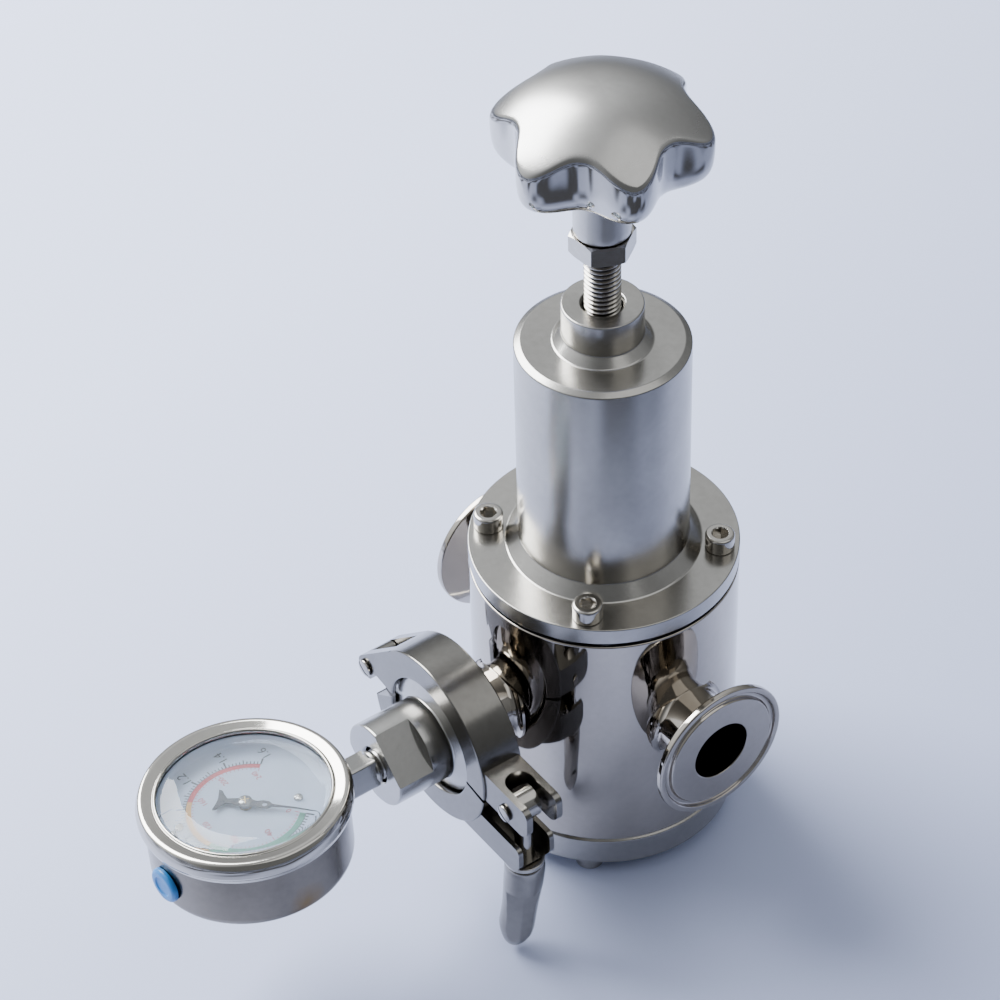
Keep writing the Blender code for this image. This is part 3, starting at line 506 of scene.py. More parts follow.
def port_pieces():
    """Three clamp ferrules, their welds to the body, and the bored mirror-polished body."""
    rim, cone_r = 2.6, NECK_R + 2.4
    cone = rim + (FERRULE_R - cone_r) * math.tan(math.radians(20))
    face = PORT_FACE
    outline = [
        (PORT_BORE_R, BODY_R - 7.0), (NECK_R, BODY_R - 7.0), (NECK_R, face - cone - 2.2, 2.2),
        (cone_r, face - cone, 1.4), (FERRULE_R, face - rim, 0.5), (FERRULE_R, face - 0.2, 0.7),
        (FERRULE_R - 2.0, face - 0.2, 0.35), (FERRULE_R - 2.5, face - 1.5, 0.5),
        (FERRULE_R - 4.0, face - 1.5, 0.5), (FERRULE_R - 4.6, face, 0.3), (PORT_BORE_R, face, 0.35)]
    sides = {"inlet": (0, 90, 0), "outlet": (0, -90, 0), "gauge": (90, 0, 0)}
    for side, turn in sides.items():
        ferrule = to_object(side + "_clamp_ferrule", turned(outline))
        finish_piece(ferrule, "port_mirror", "valve_body", [side + "_ferrule"],
                     at=(0, 0, PORT_Z), turn=turn)
        weld = turn_bm(saddle(NECK_R, 2.2, BODY_R), "Z", 0 if side == "gauge" else 90)
        weld = to_object(side + "_weld", weld)
        finish_piece(weld, "port_mirror", "valve_body", (), at=(0, 0, PORT_Z), turn=turn)

    body = to_object("polished_body", turned([
        (0, COVER_TOP + GAP), (BODY_R, COVER_TOP + GAP, 0.5), (BODY_R, BODY_HIGH.z, 0.6), (33.0, BODY_HIGH.z),
        (33.0, 85.0), (0, 85.0)], 240))
    lower = turned([(0, 0), (14.0, 0), (14.0, 76.0), (9.0, 76.0), (9.0, 90.0), (0, 90.0)], 72)
    cut(body, lower)
    bore = disc(PORT_BORE_R + 1.0, 8.0, BODY_R + 8.0, 96)
    cut(body, shift_bm(turn_bm(bore, "Y", 90), z=PORT_Z))
    bore = disc(PORT_BORE_R + 1.0, 20.0, BODY_R + 8.0, 96)
    cut(body, shift_bm(turn_bm(bore, "Y", -90), z=PORT_Z))
    finish_piece(body, "body_mirror", "valve_body", ["body_shell"])

    cover = to_object("turned_cover", turned([
        (0, 0), (BODY_R, 0, 0.8), (BODY_R, COVER_TOP - 1.3, 0.35), (BODY_R - 0.9, COVER_TOP - 0.6, 0.3),
        (BODY_R - 0.9, COVER_TOP), (13.7, COVER_TOP), (13.7, 16.0), (8.0, 16.0), (8.0, 34.0, 0.4),
        (5.1, 34.0, 0.4), (5.1, 20.0), (0, 20.0)], 200))
    finish_piece(cover, "turned_steel", "valve_body", ["bottom_cover"])


# ---------------------------------------------------------------- bonnet, screws
def bonnet_piece():
    chamfer_r = 26.3
    bonnet = to_object("spring_housing", turned([
        (23.5, FLANGE_Z0), (BODY_R, FLANGE_Z0, 0.35), (BODY_R, FLANGE_Z1, 0.45), (32.6, FLANGE_Z1, 0.5),
        (BONNET_R, FLANGE_Z1 + 4.6, 0.3), (BONNET_R, BONNET_TOP - 1.2, 0.45), (chamfer_r, BONNET_TOP, 0.25),
        (16.2, BONNET_TOP, 0.5), (13.3, BONNET_TOP + 3.1, 0.35), (13.3, BOSS_TOP, 0.6), (7.3, BOSS_TOP, 0.25),
        (6.5, BOSS_TOP - 0.9, 0.2), (6.5, 190.0), (23.5, 190.0, 1.5)], 200))
    finish_piece(bonnet, "turned_steel", "valve_body", ["bonnet"])


def socket_screw(name):
    """M6 cap screw on Z, head up, with a chamfered hexagon socket and a plain shank."""
    shank = 26.0
    screw = to_object(name, turned([
        (0, -shank), (2.4, -shank, 0.2), (3.0, -shank + 1.0, 0.3), (3.0, 0, 0.4), (HEAD_R, 0, 0.5),
        (HEAD_R, HEAD_H, 1.1), (0, HEAD_H)], 72, steps=5))
    cut(screw, prism(hexagon(5.0, 15), HEAD_H - 3.2, HEAD_H + 1))
    cut(screw, turned([(0, HEAD_H - 0.5), (2.45, HEAD_H - 0.5), (3.4, HEAD_H + 0.5), (0, HEAD_H + 0.5)], 48))
    return soften(screw, 0.12, 2, 35)


def screw_pieces():
    radius = Vector(middle("bonnet_screw_1")[:2]).length
    for i, angle in enumerate(BOLT_ANGLES):
        x, y = polar(radius, angle)
        number = str(i + 1)
        finish_piece(socket_screw("bonnet_cap_screw_" + number), "screw_steel", "valve_body",
                     ["bonnet_screw_" + number], at=(x, y, FLANGE_Z1 + 0.05), turn=(0, 0, 17 * i))
        finish_piece(socket_screw("cover_cap_screw_" + number), "screw_steel", "valve_body",
                     ["cover_screw_" + number], at=(x, y, -0.05), turn=(180, 0, 23 * i))


# ---------------------------------------------------------------- spindle and knob
def threaded_rod(z0, z1, radius, pitch, depth, around=48):
    """A true helical thread: each row of points climbs one pitch in a turn."""
    shape = ((0.0, 0.0), (0.07, 0.0), (0.42, 1.0), (0.58, 1.0), (0.93, 0.0))
    per_turn = len(shape)
    turns = int((z1 - z0) / pitch)
    bm = bmesh.new()
    columns = []
    for i in range(around):
        column = []
        for row in range((turns - 1) * per_turn + 1):
            turn, k = divmod(row, per_turn)
            height, rise = shape[k]
            angle = 2 * math.pi * i / around
            r = radius - depth * (1 - rise)
            column.append(bm.verts.new((r * math.cos(angle), r * math.sin(angle),
                                        z0 + pitch * (turn + height + i / around))))
        columns.append(column)
    rows = len(columns[0])
    for i in range(around - 1):
        for k in range(rows - 1):
            bm.faces.new((columns[i][k], columns[i + 1][k], columns[i + 1][k + 1], columns[i][k + 1]))
    first, last = columns[0], columns[-1]
    for k in range(rows - 1 - per_turn):
        bm.faces.new((last[k], first[k + per_turn], first[k + per_turn + 1], last[k + 1]))
    low = bm.verts.new((0, 0, z0 + pitch / 2))
    high = bm.verts.new((0, 0, first[-1].co.z + pitch / 2))
    rim_low = [column[0] for column in columns] + list(reversed(first[:per_turn + 1]))[:-1]
    rim_high = [column[-1] for column in columns] + list(reversed(last[rows - 1 - per_turn:rows - 1]))
    for rim, pole in ((rim_low, low), (rim_high, high)):
        for a, b in zip(rim, rim[1:] + rim[:1]):
            if a is not b and not any({a, b} <= set(e.verts) and len(e.link_faces) > 1 for e in a.link_edges):
                bm.faces.new((a, b, pole))
    bmesh.ops.recalc_face_normals(bm, faces=bm.faces)
    return bm


def spindle_pieces():
    rod = to_object("threaded_spindle", threaded_rod(SPINDLE_LOW.z + 3, SPINDLE_HIGH.z - 1, 5.9, 1.75, 0.95))
    finish_piece(rod, "bright_steel", "handwheel", ["adjusting_screw"], sharp=25, mat=LOOKS["thread_steel"])
    low = SPINDLE_LOW.z
    tip = to_object("spindle_tip", turned([
        (0, low), (3.2, low, 0.5), (4.85, low + 1.7), (4.85, low + 6), (0, low + 6)], 48))
    finish_piece(tip, "bright_steel", "handwheel", ())

    low, high = NUT_LOW.z, NUT_HIGH.z
    across, flare = 18.7, 1.1
    corner = across / math.sqrt(3)
    nut = to_object("hex_jam_nut", prism(hexagon(across, 4), low, high))
    combine(nut, turned([
        (0, low - 1), (corner - flare - 1.4, low - 1), (corner - flare, low), (corner + 0.4, low + 0.9),
        (corner + 0.4, high - 0.9), (corner - flare, high), (corner - flare - 1.4, high + 1),
        (0, high + 1)], 120), "INTERSECT")
    cut(nut, turned([(0, low - 1), (7.4, low - 1), (6.0, low + 0.7), (6.0, high - 0.7), (7.4, high + 1),
                     (0, high + 1)], 72))
    finish_piece(soften(nut, 0.22, 2, 25), "bright_steel", "handwheel", ["jam_nut"], sharp=30)


def knob_outline(r, depth, angle):
    wave = 0.5 + 0.5 * math.cos(6 * (angle - math.radians(-19.6)))
    return r - depth * (1 - wave ** 1.2)


def knob_piece():
    """Cast star knob: round hub, rounded underside, upright lobed walls and a smooth tall dome."""
    base, crown = KNOB_LOW.z, KNOB_HIGH.z
    lobe_r, hollow, rise = 34.6, 7.6, 13.8

    def dome(r):
        return crown - rise * (r / lobe_r) ** 2.3

    hub = 9.2
    # height above the base, radius, depth of the hollows
    walls = [(0, 6.2, 0), (0, hub - 0.5, 0), (0.15, hub - 0.15, 0), (0.5, hub, 0), (17.6, hub, 0),
             (18.9, 9.7, 0), (20.2, 11.6, 0.4), (21.4, 15.4, 1.6), (22.5, 20.4, 3.6), (23.3, 24.6, 5.2),
             (24.0, 28.0, 6.4), (24.8, 30.4, 7.0), (25.9, 32.2, 7.4), (27.4, 33.4, hollow),
             (29.4, 34.1, hollow), (32.0, 34.5, hollow), (35.5, 34.7, hollow)]
    around = 240
    angles = [2 * math.pi * i / around for i in range(around)]
    rings = [[(knob_outline(r, depth, a), base + z) for a in angles] for z, r, depth in walls]
    rim = [knob_outline(lobe_r + 0.1, hollow, a) for a in angles]
    # the rounded edge: how far in from the rim, and how far below the dome
    for inward, drop in ((0.0, 3.0), (0.0, 1.9), (0.08, 1.25), (0.3, 0.7), (0.65, 0.3), (1.1, 0.08),
                         (1.8, 0.0)):
        rings.append([(r - inward, dome(r - inward) - drop) for r in rim])
    for share in (0.88, 0.8, 0.71, 0.61, 0.5, 0.39, 0.28, 0.17, 0.07):
        rings.append([(share * r, dome(share * r)) for r in rim])
    points = [[(r * math.cos(a), r * math.sin(a), z) for (r, z), a in zip(ring, angles)]
              for ring in rings]
    knob = to_object("star_knob_cast", loft(points))
    cut(knob, disc(6.2, base - 1, base + 16, 72))
    smoother = knob.modifiers.new("smooth", "SUBSURF")
    smoother.levels = smoother.render_levels = 1
    finish_piece(knob, "knob_polish", "handwheel", ["star_knob"], sharp=60)


# ---------------------------------------------------------------- clamp
def clamp_section():
    w, lip, rim, deep = CLAMP_HALF_W, 21.5, 25.7, 4.6
    wide = deep + (rim - lip) * math.tan(math.radians(20))
    return [(lip, w, 0.8), (lip, wide, 0.6), (rim, deep, 0.3), (rim, -deep, 0.3), (lip, -wide, 0.6),
            (lip, -w, 0.8), (CLAMP_R, -w, 0.7), (CLAMP_R, w, 0.7)]


def groove():
    w, lip, rim, deep = CLAMP_HALF_W, 21.5, 25.7, 4.6
    wide = deep + (rim - lip) * math.tan(math.radians(20))
    return turned([(0, w + 2), (lip, w + 2), (lip, wide), (rim, deep), (rim, -deep), (lip, -wide),
                   (lip, -w - 2), (0, -w - 2)], 96)


def slot_outline(start, half_w, end):
    """Slot open at its far end, with a round closed end."""
    outline = [polar(half_w, a) + Vector((start + half_w, 0)) for a in range(90, 271, 15)]
    return outline + [Vector((end, -half_w)), Vector((end, half_w))]


def upright(bm):
    """A plan drawn as (x, y) along the valve's X and Z: stand it in the clamp's frame."""
    return turn_bm(bm, "X", -90)


def clamp_pieces():
    """Both halves are drawn with X across, Y up and Z along the port, as the ring is turned."""
    hx, hy = HINGE.x, HINGE.z - PORT_Z
    bx, by = BOLT.x, BOLT.z - PORT_Z
    stand = dict(at=(0, CLAMP.y, PORT_Z), turn=(90, 0, 0))
    lug_w = 7.2

    upper = to_object("clamp_upper", turned(clamp_section(), 100, -8, 180))
    side_view = rounded([(24, -4.6), (51.4, -4.6, 1.5), (54.6, -2.0, 3.2), (54.6, 7.7, 3.6), (24, 7.7)], 6)
    join(upper, prism(side_view, -lug_w, lug_w))
    # ears run straight on from the ring's back and end round about the hinge pin
    ear = [polar(CLAMP_R - 0.02, 131.8), polar(CLAMP_R - 1.0, 171.8), Vector((-32.4, 3.5))]
    ear += [Vector((hx, hy)) + polar(4.5, a) for a in range(-60, -229, -8)]
    for side in (-1, 1):
        join(upper, prism(list(reversed(ear)), side * 6.1 - 1.9, side * 6.1 + 1.9))
    cut(upper, groove())
    cut(upper, upright(prism(slot_outline(36.0, 4.8, 60), -12, 12)))
    cut(upper, upright(prism(slot_outline(35.2, 5.6, 60), -12, -6.6)))
    cut(upper, disc(2.15, -12, 12, 32, (hx, hy)), disc(2.15, -12, 12, 32, (bx, by)))
    finish_piece(soften(upper, 0.42, 3, 28), "clamp_steel", "valve_body", ["clamp_upper_half"], **stand)

    lower = to_object("clamp_lower", turned(clamp_section(), 100, 174.6, 174.4))
    side_view = rounded([(16, -26.4), (46.0, -26.4, 3.0), (49.5, -23.0, 2.5), (49.5, -14.4, 2.6),
                         (24, -14.4)], 6)
    join(lower, prism(side_view, -lug_w, lug_w))
    join(lower, disc(4.5, -3.8, 3.8, 48, (hx, hy)))
    join(lower, block(hx, -28.0, hy - 4.5, hy - 0.9, -3.8, 3.8))
    cut(lower, groove())
    cut(lower, upright(prism(slot_outline(36.0, 4.8, 60), 10, 30)))
    cut(lower, block(31.5, 60, -23.6, -10, -5.4, 5.4))
    # open seam beside the hinge knuckle
    seam = [Vector(p) for p in ((-19, 6), (-34, 6), (-34, -5.6), (-30.4, -4.6), (-21.2, 1.6), (-19, 3.0))]
    cut(lower, prism(seam, 4.0, 9.0), prism(seam, -9.0, -4.0))
    cut(lower, disc(2.15, -12, 12, 32, (hx, hy)))
    finish_piece(soften(lower, 0.42, 3, 28), "clamp_steel", "valve_body", ["clamp_lower_half"], **stand)

    for name, node_name, place, reach, head_r in (
            ("hinge_pin_riveted", "clamp_hinge_pin", HINGE, 8.3, 3.2),
            ("bolt_pin_riveted", "bolt_pin", BOLT, 7.5, 3.1)):
        tail = reach + (0.2 if reach > 8 else 0.6)
        pin = to_object(name, turned([
            (0, -tail), (2.0, -tail, 0.4), (2.0, reach), (head_r, reach, 0.3), (head_r, reach + 0.75, 0.6),
            (head_r * 0.6, reach + 1.2, 0.5), (0, reach + 1.25)], 64))
        cut(pin, block(-4, 4, -0.4, 0.4, reach + 0.7, reach + 3))
        finish_piece(pin, "bright_steel", "valve_body", [node_name],
                     at=(place.x, CLAMP.y, place.z), turn=(90, 35, 0))


def bolt_and_handle():
    """Eye bolt, thrust collar and the cast handle nut, each drawn from the bolt pin's axis."""
    at = (BOLT.x, CLAMP.y, BOLT.z)
    eye = to_object("eye_bolt", turn_bm(disc(5.8, -3.4, 3.4, 64), "X", 90))
    end = span("swing_bolt")[0].z - BOLT.z
    join(eye, turned([(0, end), (2.5, end, 0.3), (3.25, end + 0.9, 0.3), (3.25, -3.0), (0, -3.0)], 48))
    cut(eye, turn_bm(disc(2.15, -8, 8, 48), "X", 90))
    finish_piece(soften(eye, 0.5, 3, 30), "bright_steel", "bolt_swing", ["swing_bolt"], at=at)

    low, high = COLLAR_LOW.z - BOLT.z, COLLAR_HIGH.z - BOLT.z
    collar = to_object("thrust_washer", turned([
        (3.6, low, 0.2), (6.8, low, 0.4), (6.8, high, 0.4), (3.6, high, 0.2)]))
    finish_piece(collar, "bright_steel", "collar", ["thrust_collar"], at=at)

    # drop below the hub's top, half width across the swing, half width along the port, lean
    stations = [
        (0.0, 5.7, 5.7, 0.0), (0.25, 6.4, 6.4, 0.0), (1.0, 6.85, 6.85, 0.0), (3.0, 7.0, 6.9, 0.0),
        (6.0, 7.0, 6.9, -0.3), (10.0, 6.95, 6.7, -0.8), (14.0, 6.7, 6.4, -1.4), (18.0, 6.45, 6.1, -2.0),
        (22.0, 6.45, 5.9, -2.7), (25.5, 6.6, 5.8, -3.3), (28.5, 6.75, 5.65, -3.9), (31.0, 6.4, 5.25, -4.3),
        (33.2, 5.5, 4.6, -4.7), (35.0, 4.4, 3.9, -5.0), (36.4, 3.3, 3.0, -5.2), (37.3, 2.2, 2.0, -5.35),
        (37.75, 1.0, 0.9, -5.4)]
    around = 48
    rings = []
    for drop, half_x, half_y, lean in stations:
        ring = []
        for i in range(around):
            angle = 2 * math.pi * i / around
            ring.append((half_x * math.cos(angle), half_y * math.sin(angle) + lean,
                         HANDLE_TOP - drop - BOLT.z))
        rings.append(ring)
    handle = to_object("cast_handle", loft(list(reversed(rings))))
    cut(handle, disc(3.5, HANDLE_TOP - 23 - BOLT.z, HANDLE_TOP + 1 - BOLT.z, 48))
    # facets for the thumb, deepest at their upper edge and running out below; two meet in a ridge
    for facing, top_out, low_out in ((33, 6.1, 8.9), (77, 5.8, 7.1), (235, 4.9, 3.8)):
        rise = math.degrees(math.atan2(low_out - top_out, 19.0))
        facet = turn_bm(block(-9, 9, 0, 20, 0, 24), "X", 180 - rise)
        shift_bm(facet, y=-top_out, z=22.3 - BOLT.z)
        cut(handle, turn_bm(facet, "Z", facing))
    finish_piece(soften(handle, 0.35, 3, 30), "handle_polish", "handle", ["handle_nut"], at=at)


# ---------------------------------------------------------------- adaptor
def adaptor_piece():
    rim = 2.6
    cone = rim + (FERRULE_R - 17.0) * math.tan(math.radians(20))
    face, end = ADAPTOR_FACE, ADAPTOR_END
    adaptor = to_object("gauge_adaptor_turned", turned([
        (4.0, face + 0.1), (FERRULE_R, face + 0.1, 0.6), (FERRULE_R, face + rim, 0.5),
        (17.2, face + cone, 0.8), (15.0, face + cone + 0.9, 0.5), (15.0, end, 0.8), (7.2, end, 0.25),
        (6.5, end - 0.8, 0.2), (6.5, 80.0), (4.0, 80.0)], 144))
    for angle in (45, 225):
        flat = turn_bm(block(11.4, 20, -16, 16, 82.0, end + 1), "Z", angle)
        cut(adaptor, flat)
    finish_piece(soften(adaptor, 0.18, 2, 30), "adaptor_steel", "valve_body", ["gauge_adaptor"],
                 at=(0, 0, PORT_Z), turn=(90, 0, 0))


# ---------------------------------------------------------------- gauge
GAUGE = (Matrix.Translation(Vector((0, GAUGE_Y, PORT_Z)) * MM)
         @ Matrix.Rotation(math.radians(GAUGE_TILT), 4, "Y"))
ZERO_DEG = 43.0                  # where the pointer rests; dial up is -Y, so this is lower left
SWEEP_DEG = -270.0
DIAL_H = 10.2                    # dial's printed face above the port axis
SEAM_H = 11.5


def in_gauge(obj, slot, nodes=(), body="valve_body", **place):
    return finish_piece(obj, slot, body, nodes, parent=GAUGE, **place)


def gauge_case():
    wall, case_r, low = 1.4, 33.5, -9.5
    case = to_object("gauge_cup", turned([
        (0, low), (case_r, low, 3.2), (case_r, SEAM_H - 0.3, 0.15), (case_r - wall, SEAM_H - 0.3, 0.15),
        (case_r - wall, low + wall, 2.2), (0, low + wall)], 176, steps=7))
    cut(case, turn_bm(disc(6.4, 25, 40, 48), "X", -90))
    cut(case, turn_bm(turn_bm(disc(5.0, 25, 40, 48), "X", 90), "Z", 5))
    in_gauge(case, "gauge_steel", ["gauge_case"])

    bezel = to_object("gauge_bezel_rolled", turned([
        (case_r - 1.2, SEAM_H, 0.1), (34.6, SEAM_H, 0.25), (34.9, SEAM_H + 1.3, 0.3),
        (35.5, SEAM_H + 2.2, 0.8), (35.5, 16.6, 1.5), (34.4, 19.0, 1.0), (33.2, 19.3, 0.6),
        (29.6, 18.5, 0.3), (29.3, 19.0, 0.25), (28.7, 19.05, 0.3), (28.35, 18.4, 0.2), (28.9, 17.9, 0.1),
        (28.9, 17.2), (case_r - 1.2, 17.2)], 200, steps=6))
    in_gauge(bezel, "bezel_steel", ["gauge_bezel"])

    glass = to_object("domed_window", turned([
        (0, 14.8), (31.8, 14.8, 0.2), (31.8, 16.9, 0.2), (28.5, 16.9, 0.3), (27.2, 17.9, 1.6),
        (22.0, 18.8, 5.0), (11.0, 19.25, 6.0), (0, 19.35)], 128, steps=6))
    in_gauge(glass, "window_glass", ["gauge_glass"], sharp=50)
    ring = to_object("window_seal", turned([
        (29.2, 12.2, 0.3), (31.8, 12.2, 0.3), (31.8, 14.5, 0.3), (29.2, 14.5, 0.3)]))
    in_gauge(ring, "black_rubber", ["window_gasket"])

    plug = to_object("vent_bung", turned([
        (0, 31.0), (4.3, 31.0, 0.3), (4.8, 33.4, 0.3), (6.2, 33.6, 0.3), (6.2, 35.0, 0.6), (5.3, 35.7, 0.5),
        (3.6, 35.75, 0.2), (3.2, 35.3, 0.2), (0, 35.3)], 72, steps=5))
    in_gauge(plug, "blue_plastic", ["vent_plug"], turn=(90, 0, 5), at=(0, 0, 0.4))


def gauge_stem():
    """Square shank that stands a little turned, round neck, threaded end and a hidden block."""
    square = rounded([(-5, -5, 0.9), (5, -5, 0.9), (5, 5, 0.9), (-5, 5, 0.9)], 4, closed=True)
    square = prism(square, 34.9, 47.4)
    stem = to_object("gauge_stem", turn_bm(square, "Z", -12.3))
    join(stem, block(-7.3, 7.3, -5.9, 5.9, 18.0, 30.0))
    join(stem, turned([(0, 29.0), (6.0, 29.0), (6.0, 36.0), (0, 36.0)], 72))
    join(stem, turned([(0, 46.6), (5.3, 46.6), (6.0, 47.2, 0.2), (6.0, 48.3, 0.3), (5.2, 48.6), (5.2, 49.4),
                       (5.7, 50.2), (5.7, 62.0), (0, 62.0)], 72))
    cut(stem, disc(2.0, 40.0, 64.0, 32))
    in_gauge(soften(stem, 0.22, 2, 30), "adaptor_steel", ["gauge_socket"], turn=(-90, 0, 0))


def dial_text(text, size, at, mat, name):
    """Generic numerals printed on the dial, upright when the stem points down."""
    curve = bpy.data.curves.new(name, "FONT")
    curve.body = text
    curve.size = size * MM
    curve.align_x = "CENTER"
    curve.align_y = "CENTER"
    curve.extrude = 0.015 * MM
    curve.resolution_u = 4
    made = bpy.data.objects.new(name, curve)
    bpy.context.scene.collection.objects.link(made)
    applied_mesh = bpy.data.meshes.new_from_object(made)
    bpy.data.objects.remove(made, do_unlink=True)
    obj = bpy.data.objects.new(name, applied_mesh)
    bpy.context.scene.collection.objects.link(obj)
    obj.data.materials.clear()
    obj.data.materials.append(mat)
    spot = Matrix.Translation(Vector((at[0], at[1], DIAL_H + 0.05)) * MM)
    obj.matrix_world = GAUGE @ spot @ Matrix.Rotation(math.pi, 4, "Z")
    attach(obj, "valve_body")
    return obj


def ink(name, color):
    return plain(name, color, tuple(c * 0.8 for c in color), 0.4, 0.55, 700.0, 0.001)


def printed(name, sectors, mat):
    """Thin raised print: each sector is (inner radius, outer radius, start, sweep)."""
    bm = bmesh.new()
    for inner, outer, start, sweep in sectors:
        steps = max(1, int(abs(sweep) / 3))
        arcs = [polar(outer, start + sweep * k / steps) for k in range(steps + 1)]
        arcs += [polar(inner, start + sweep * k / steps) for k in range(steps, -1, -1)]
        bottom = [bm.verts.new((p.x, p.y, DIAL_H + 0.01)) for p in arcs]
        top = [bm.verts.new((p.x, p.y, DIAL_H + 0.05)) for p in arcs]
        bm.faces.new(bottom)
        bm.faces.new(top)
        for i in range(len(arcs)):
            j = (i + 1) % len(arcs)
            bm.faces.new((bottom[i], bottom[j], top[j], top[i]))
    bmesh.ops.recalc_face_normals(bm, faces=bm.faces)
    return in_gauge(to_object(name, bm), "dial_white", mat=mat)


def dial_pieces():
    dial = to_object("dial_plate", turned([
        (2.0, DIAL_H - 0.8, 0.1), (29.0, DIAL_H - 0.8, 0.1), (29.0, 14.3, 0.1), (28.5, 14.3, 0.1),
        (28.4, DIAL_H, 0.5), (2.0, DIAL_H, 0.1)], 128))
    in_gauge(dial, "dial_white", ["gauge_dial"])

    black = ink("print_black", (0.05, 0.055, 0.065))
    red = ink("print_red", (0.62, 0.05, 0.06))
    green = ink("print_green", (0.10, 0.36, 0.24))
    amber = ink("print_amber", (0.80, 0.42, 0.13))
    inner, outer = 17.6, 19.3
    bands = (("band_green", green, 0.0, 0.42), ("band_amber", amber, 0.42, 0.66),
             ("band_red", red, 0.66, 1.0))
    for name, mat, start, end in bands:
        printed(name, [(inner, outer, ZERO_DEG + SWEEP_DEG * start, SWEEP_DEG * (end - start))], mat)
    ticks, fine = [], []
    divisions = 80
    for k in range(divisions + 1):
        angle = ZERO_DEG + SWEEP_DEG * k / divisions
        width = 0.55 if k % 10 == 0 else 0.35
        reach = 2.6 if k % 10 == 0 else (1.8 if k % 5 == 0 else 1.1)
        width_deg = math.degrees(width * 0.5 / 20.0)
        ticks.append((outer + 0.15, outer + 0.15 + reach, angle - width_deg, 2 * width_deg))
    for k in range(61):
        angle = ZERO_DEG + SWEEP_DEG * k / 60
        fine.append((inner - (1.5 if k % 10 == 0 else 0.8), inner - 0.15, angle - 0.35, 0.7))
    ticks.append((outer, outer + 0.18, ZERO_DEG, SWEEP_DEG))
    printed("scale_ticks", ticks, black)
    printed("inner_ticks", fine, red)
    for k in range(9):
        x, y = polar(24.6, ZERO_DEG + SWEEP_DEG * k / 8)
        dial_text("%g" % (0.2 * k), 4.3, (x, y), black, "numeral_%d" % k)
    for k in range(7):
        x, y = polar(14.2, ZERO_DEG + SWEEP_DEG * k / 6)
        dial_text(str(40 * k), 2.7, (x, y), red, "inner_numeral_%d" % k)

    for i in (1, 2):
        spot = GAUGE.inverted() @ (Vector(middle("dial_screw_%d" % i)) * MM) / MM
        screw = to_object("dial_plate_screw_%d" % i, turned([
            (0, DIAL_H - 2.0), (0.6, DIAL_H - 2.0), (0.6, DIAL_H + 0.05), (1.5, DIAL_H + 0.05, 0.1),
            (1.4, DIAL_H + 0.9, 0.35), (0, DIAL_H + 1.0)], 40))
        cut(screw, block(-2, 2, -0.2, 0.2, DIAL_H + 0.5, DIAL_H + 2),
            block(-0.2, 0.2, -2, 2, DIAL_H + 0.5, DIAL_H + 2))
        in_gauge(screw, "bright_steel", ["dial_screw_%d" % i], at=(spot.x, spot.y, 0))


def pointer_pieces():
    """Needle with a pierced loop and a crescent tail, and the cross-slotted hub cap."""
    outline = [(23.5, 0.0), (12.0, 0.35), (9.0, 0.5), (7.6, 1.5), (5.6, 1.7), (3.6, 1.1)]
    outline += [tuple(polar(2.6, a)) for a in (40, 65, 90, 115, 140)]
    outline += [(-6.2, 1.0), (-7.6, 2.6), (-8.6, 4.2), (-9.9, 4.6), (-9.6, 3.0), (-9.3, 1.4), (-9.2, 0.0)]
    mirrored = [(x, -y) for x, y in reversed(outline[1:-1])]
    needle = to_object("needle", prism(outline + mirrored, 11.5, 11.95))
    cut(needle, disc(1.15, 11, 13, 32), disc(0.85, 11, 13, 32, (6.4, 0)))
    in_gauge(soften(needle, 0.08, 2, 30), "pointer_black", ["gauge_pointer"],
             body="pointer", turn=(0, 0, ZERO_DEG))
    hub = to_object("pointer_hub", turned([
        (0, 10.4), (0.9, 10.4), (0.9, 12.0), (2.3, 12.0, 0.2), (2.3, 12.9, 0.3), (1.5, 13.3, 0.3),
        (0, 13.35)], 56))
    cut(hub, block(-3, 3, -0.22, 0.22, 12.95, 14), block(-0.22, 0.22, -3, 3, 12.95, 14))
    in_gauge(hub, "bright_steel", (), body="pointer", turn=(0, 0, ZERO_DEG + 20))


# ---------------------------------------------------------------- inner CAD nodes
def paint_inner_nodes():
    """CAD nodes that stay as they are get their slot's procedural material."""
    slots = {row["node"]: row["material_slot"] for row in frame["record"]["subparts"]}
    for name, obj in frame["nodes"].items():
        obj.data.materials.clear()
        obj.data.materials.append(LOOKS[slots[name]])
        obj.data.shade_smooth()
        obj.data.set_sharp_from_angle(angle=math.radians(30))


# ---------------------------------------------------------------- floor, light, camera
def paper_with_painted_light(s):
    """Pale blue paper with painted light: brightest at the far left of the view and darker toward the near
    right, a painted falloff of the light across the floor.
    """
    across, near = flat_axes()
    along = s.measured("DOT_PRODUCT", -0.85 * near - across)
    broad = s.noise(s.place, 3.0, 2.0)
    shade = s.math("ADD", along, s.math("MULTIPLY", broad, 0.08))
    # painted light: the paper's colour is lighter at the far left and darker toward the near right
    return s.mixed(s.ranged(shade, 0.0, 1.0, -0.34, 0.42), (0.38, 0.43, 0.655), (0.69, 0.75, 1.0))


def floor():
    """Pale paper under the valve; its colour carries a painted light falloff across the floor."""
    s = Shader("floor_paper")
    fine = s.noise(s.place, 420.0, 3.0)
    s.wire(Base_Color=paper_with_painted_light(s), Roughness=s.ranged(fine, 0.6, 0.75), Normal=s.bump(fine, 0.00002))
    s.set(Specular_IOR_Level=0.25)
    bm = bmesh.new()
    bmesh.ops.create_grid(bm, x_segments=2, y_segments=2, size=6000)
    plane = to_object("floor", bm)
    plane.location.z = FLOOR_Z * MM
    plane.data.materials.append(s.material)


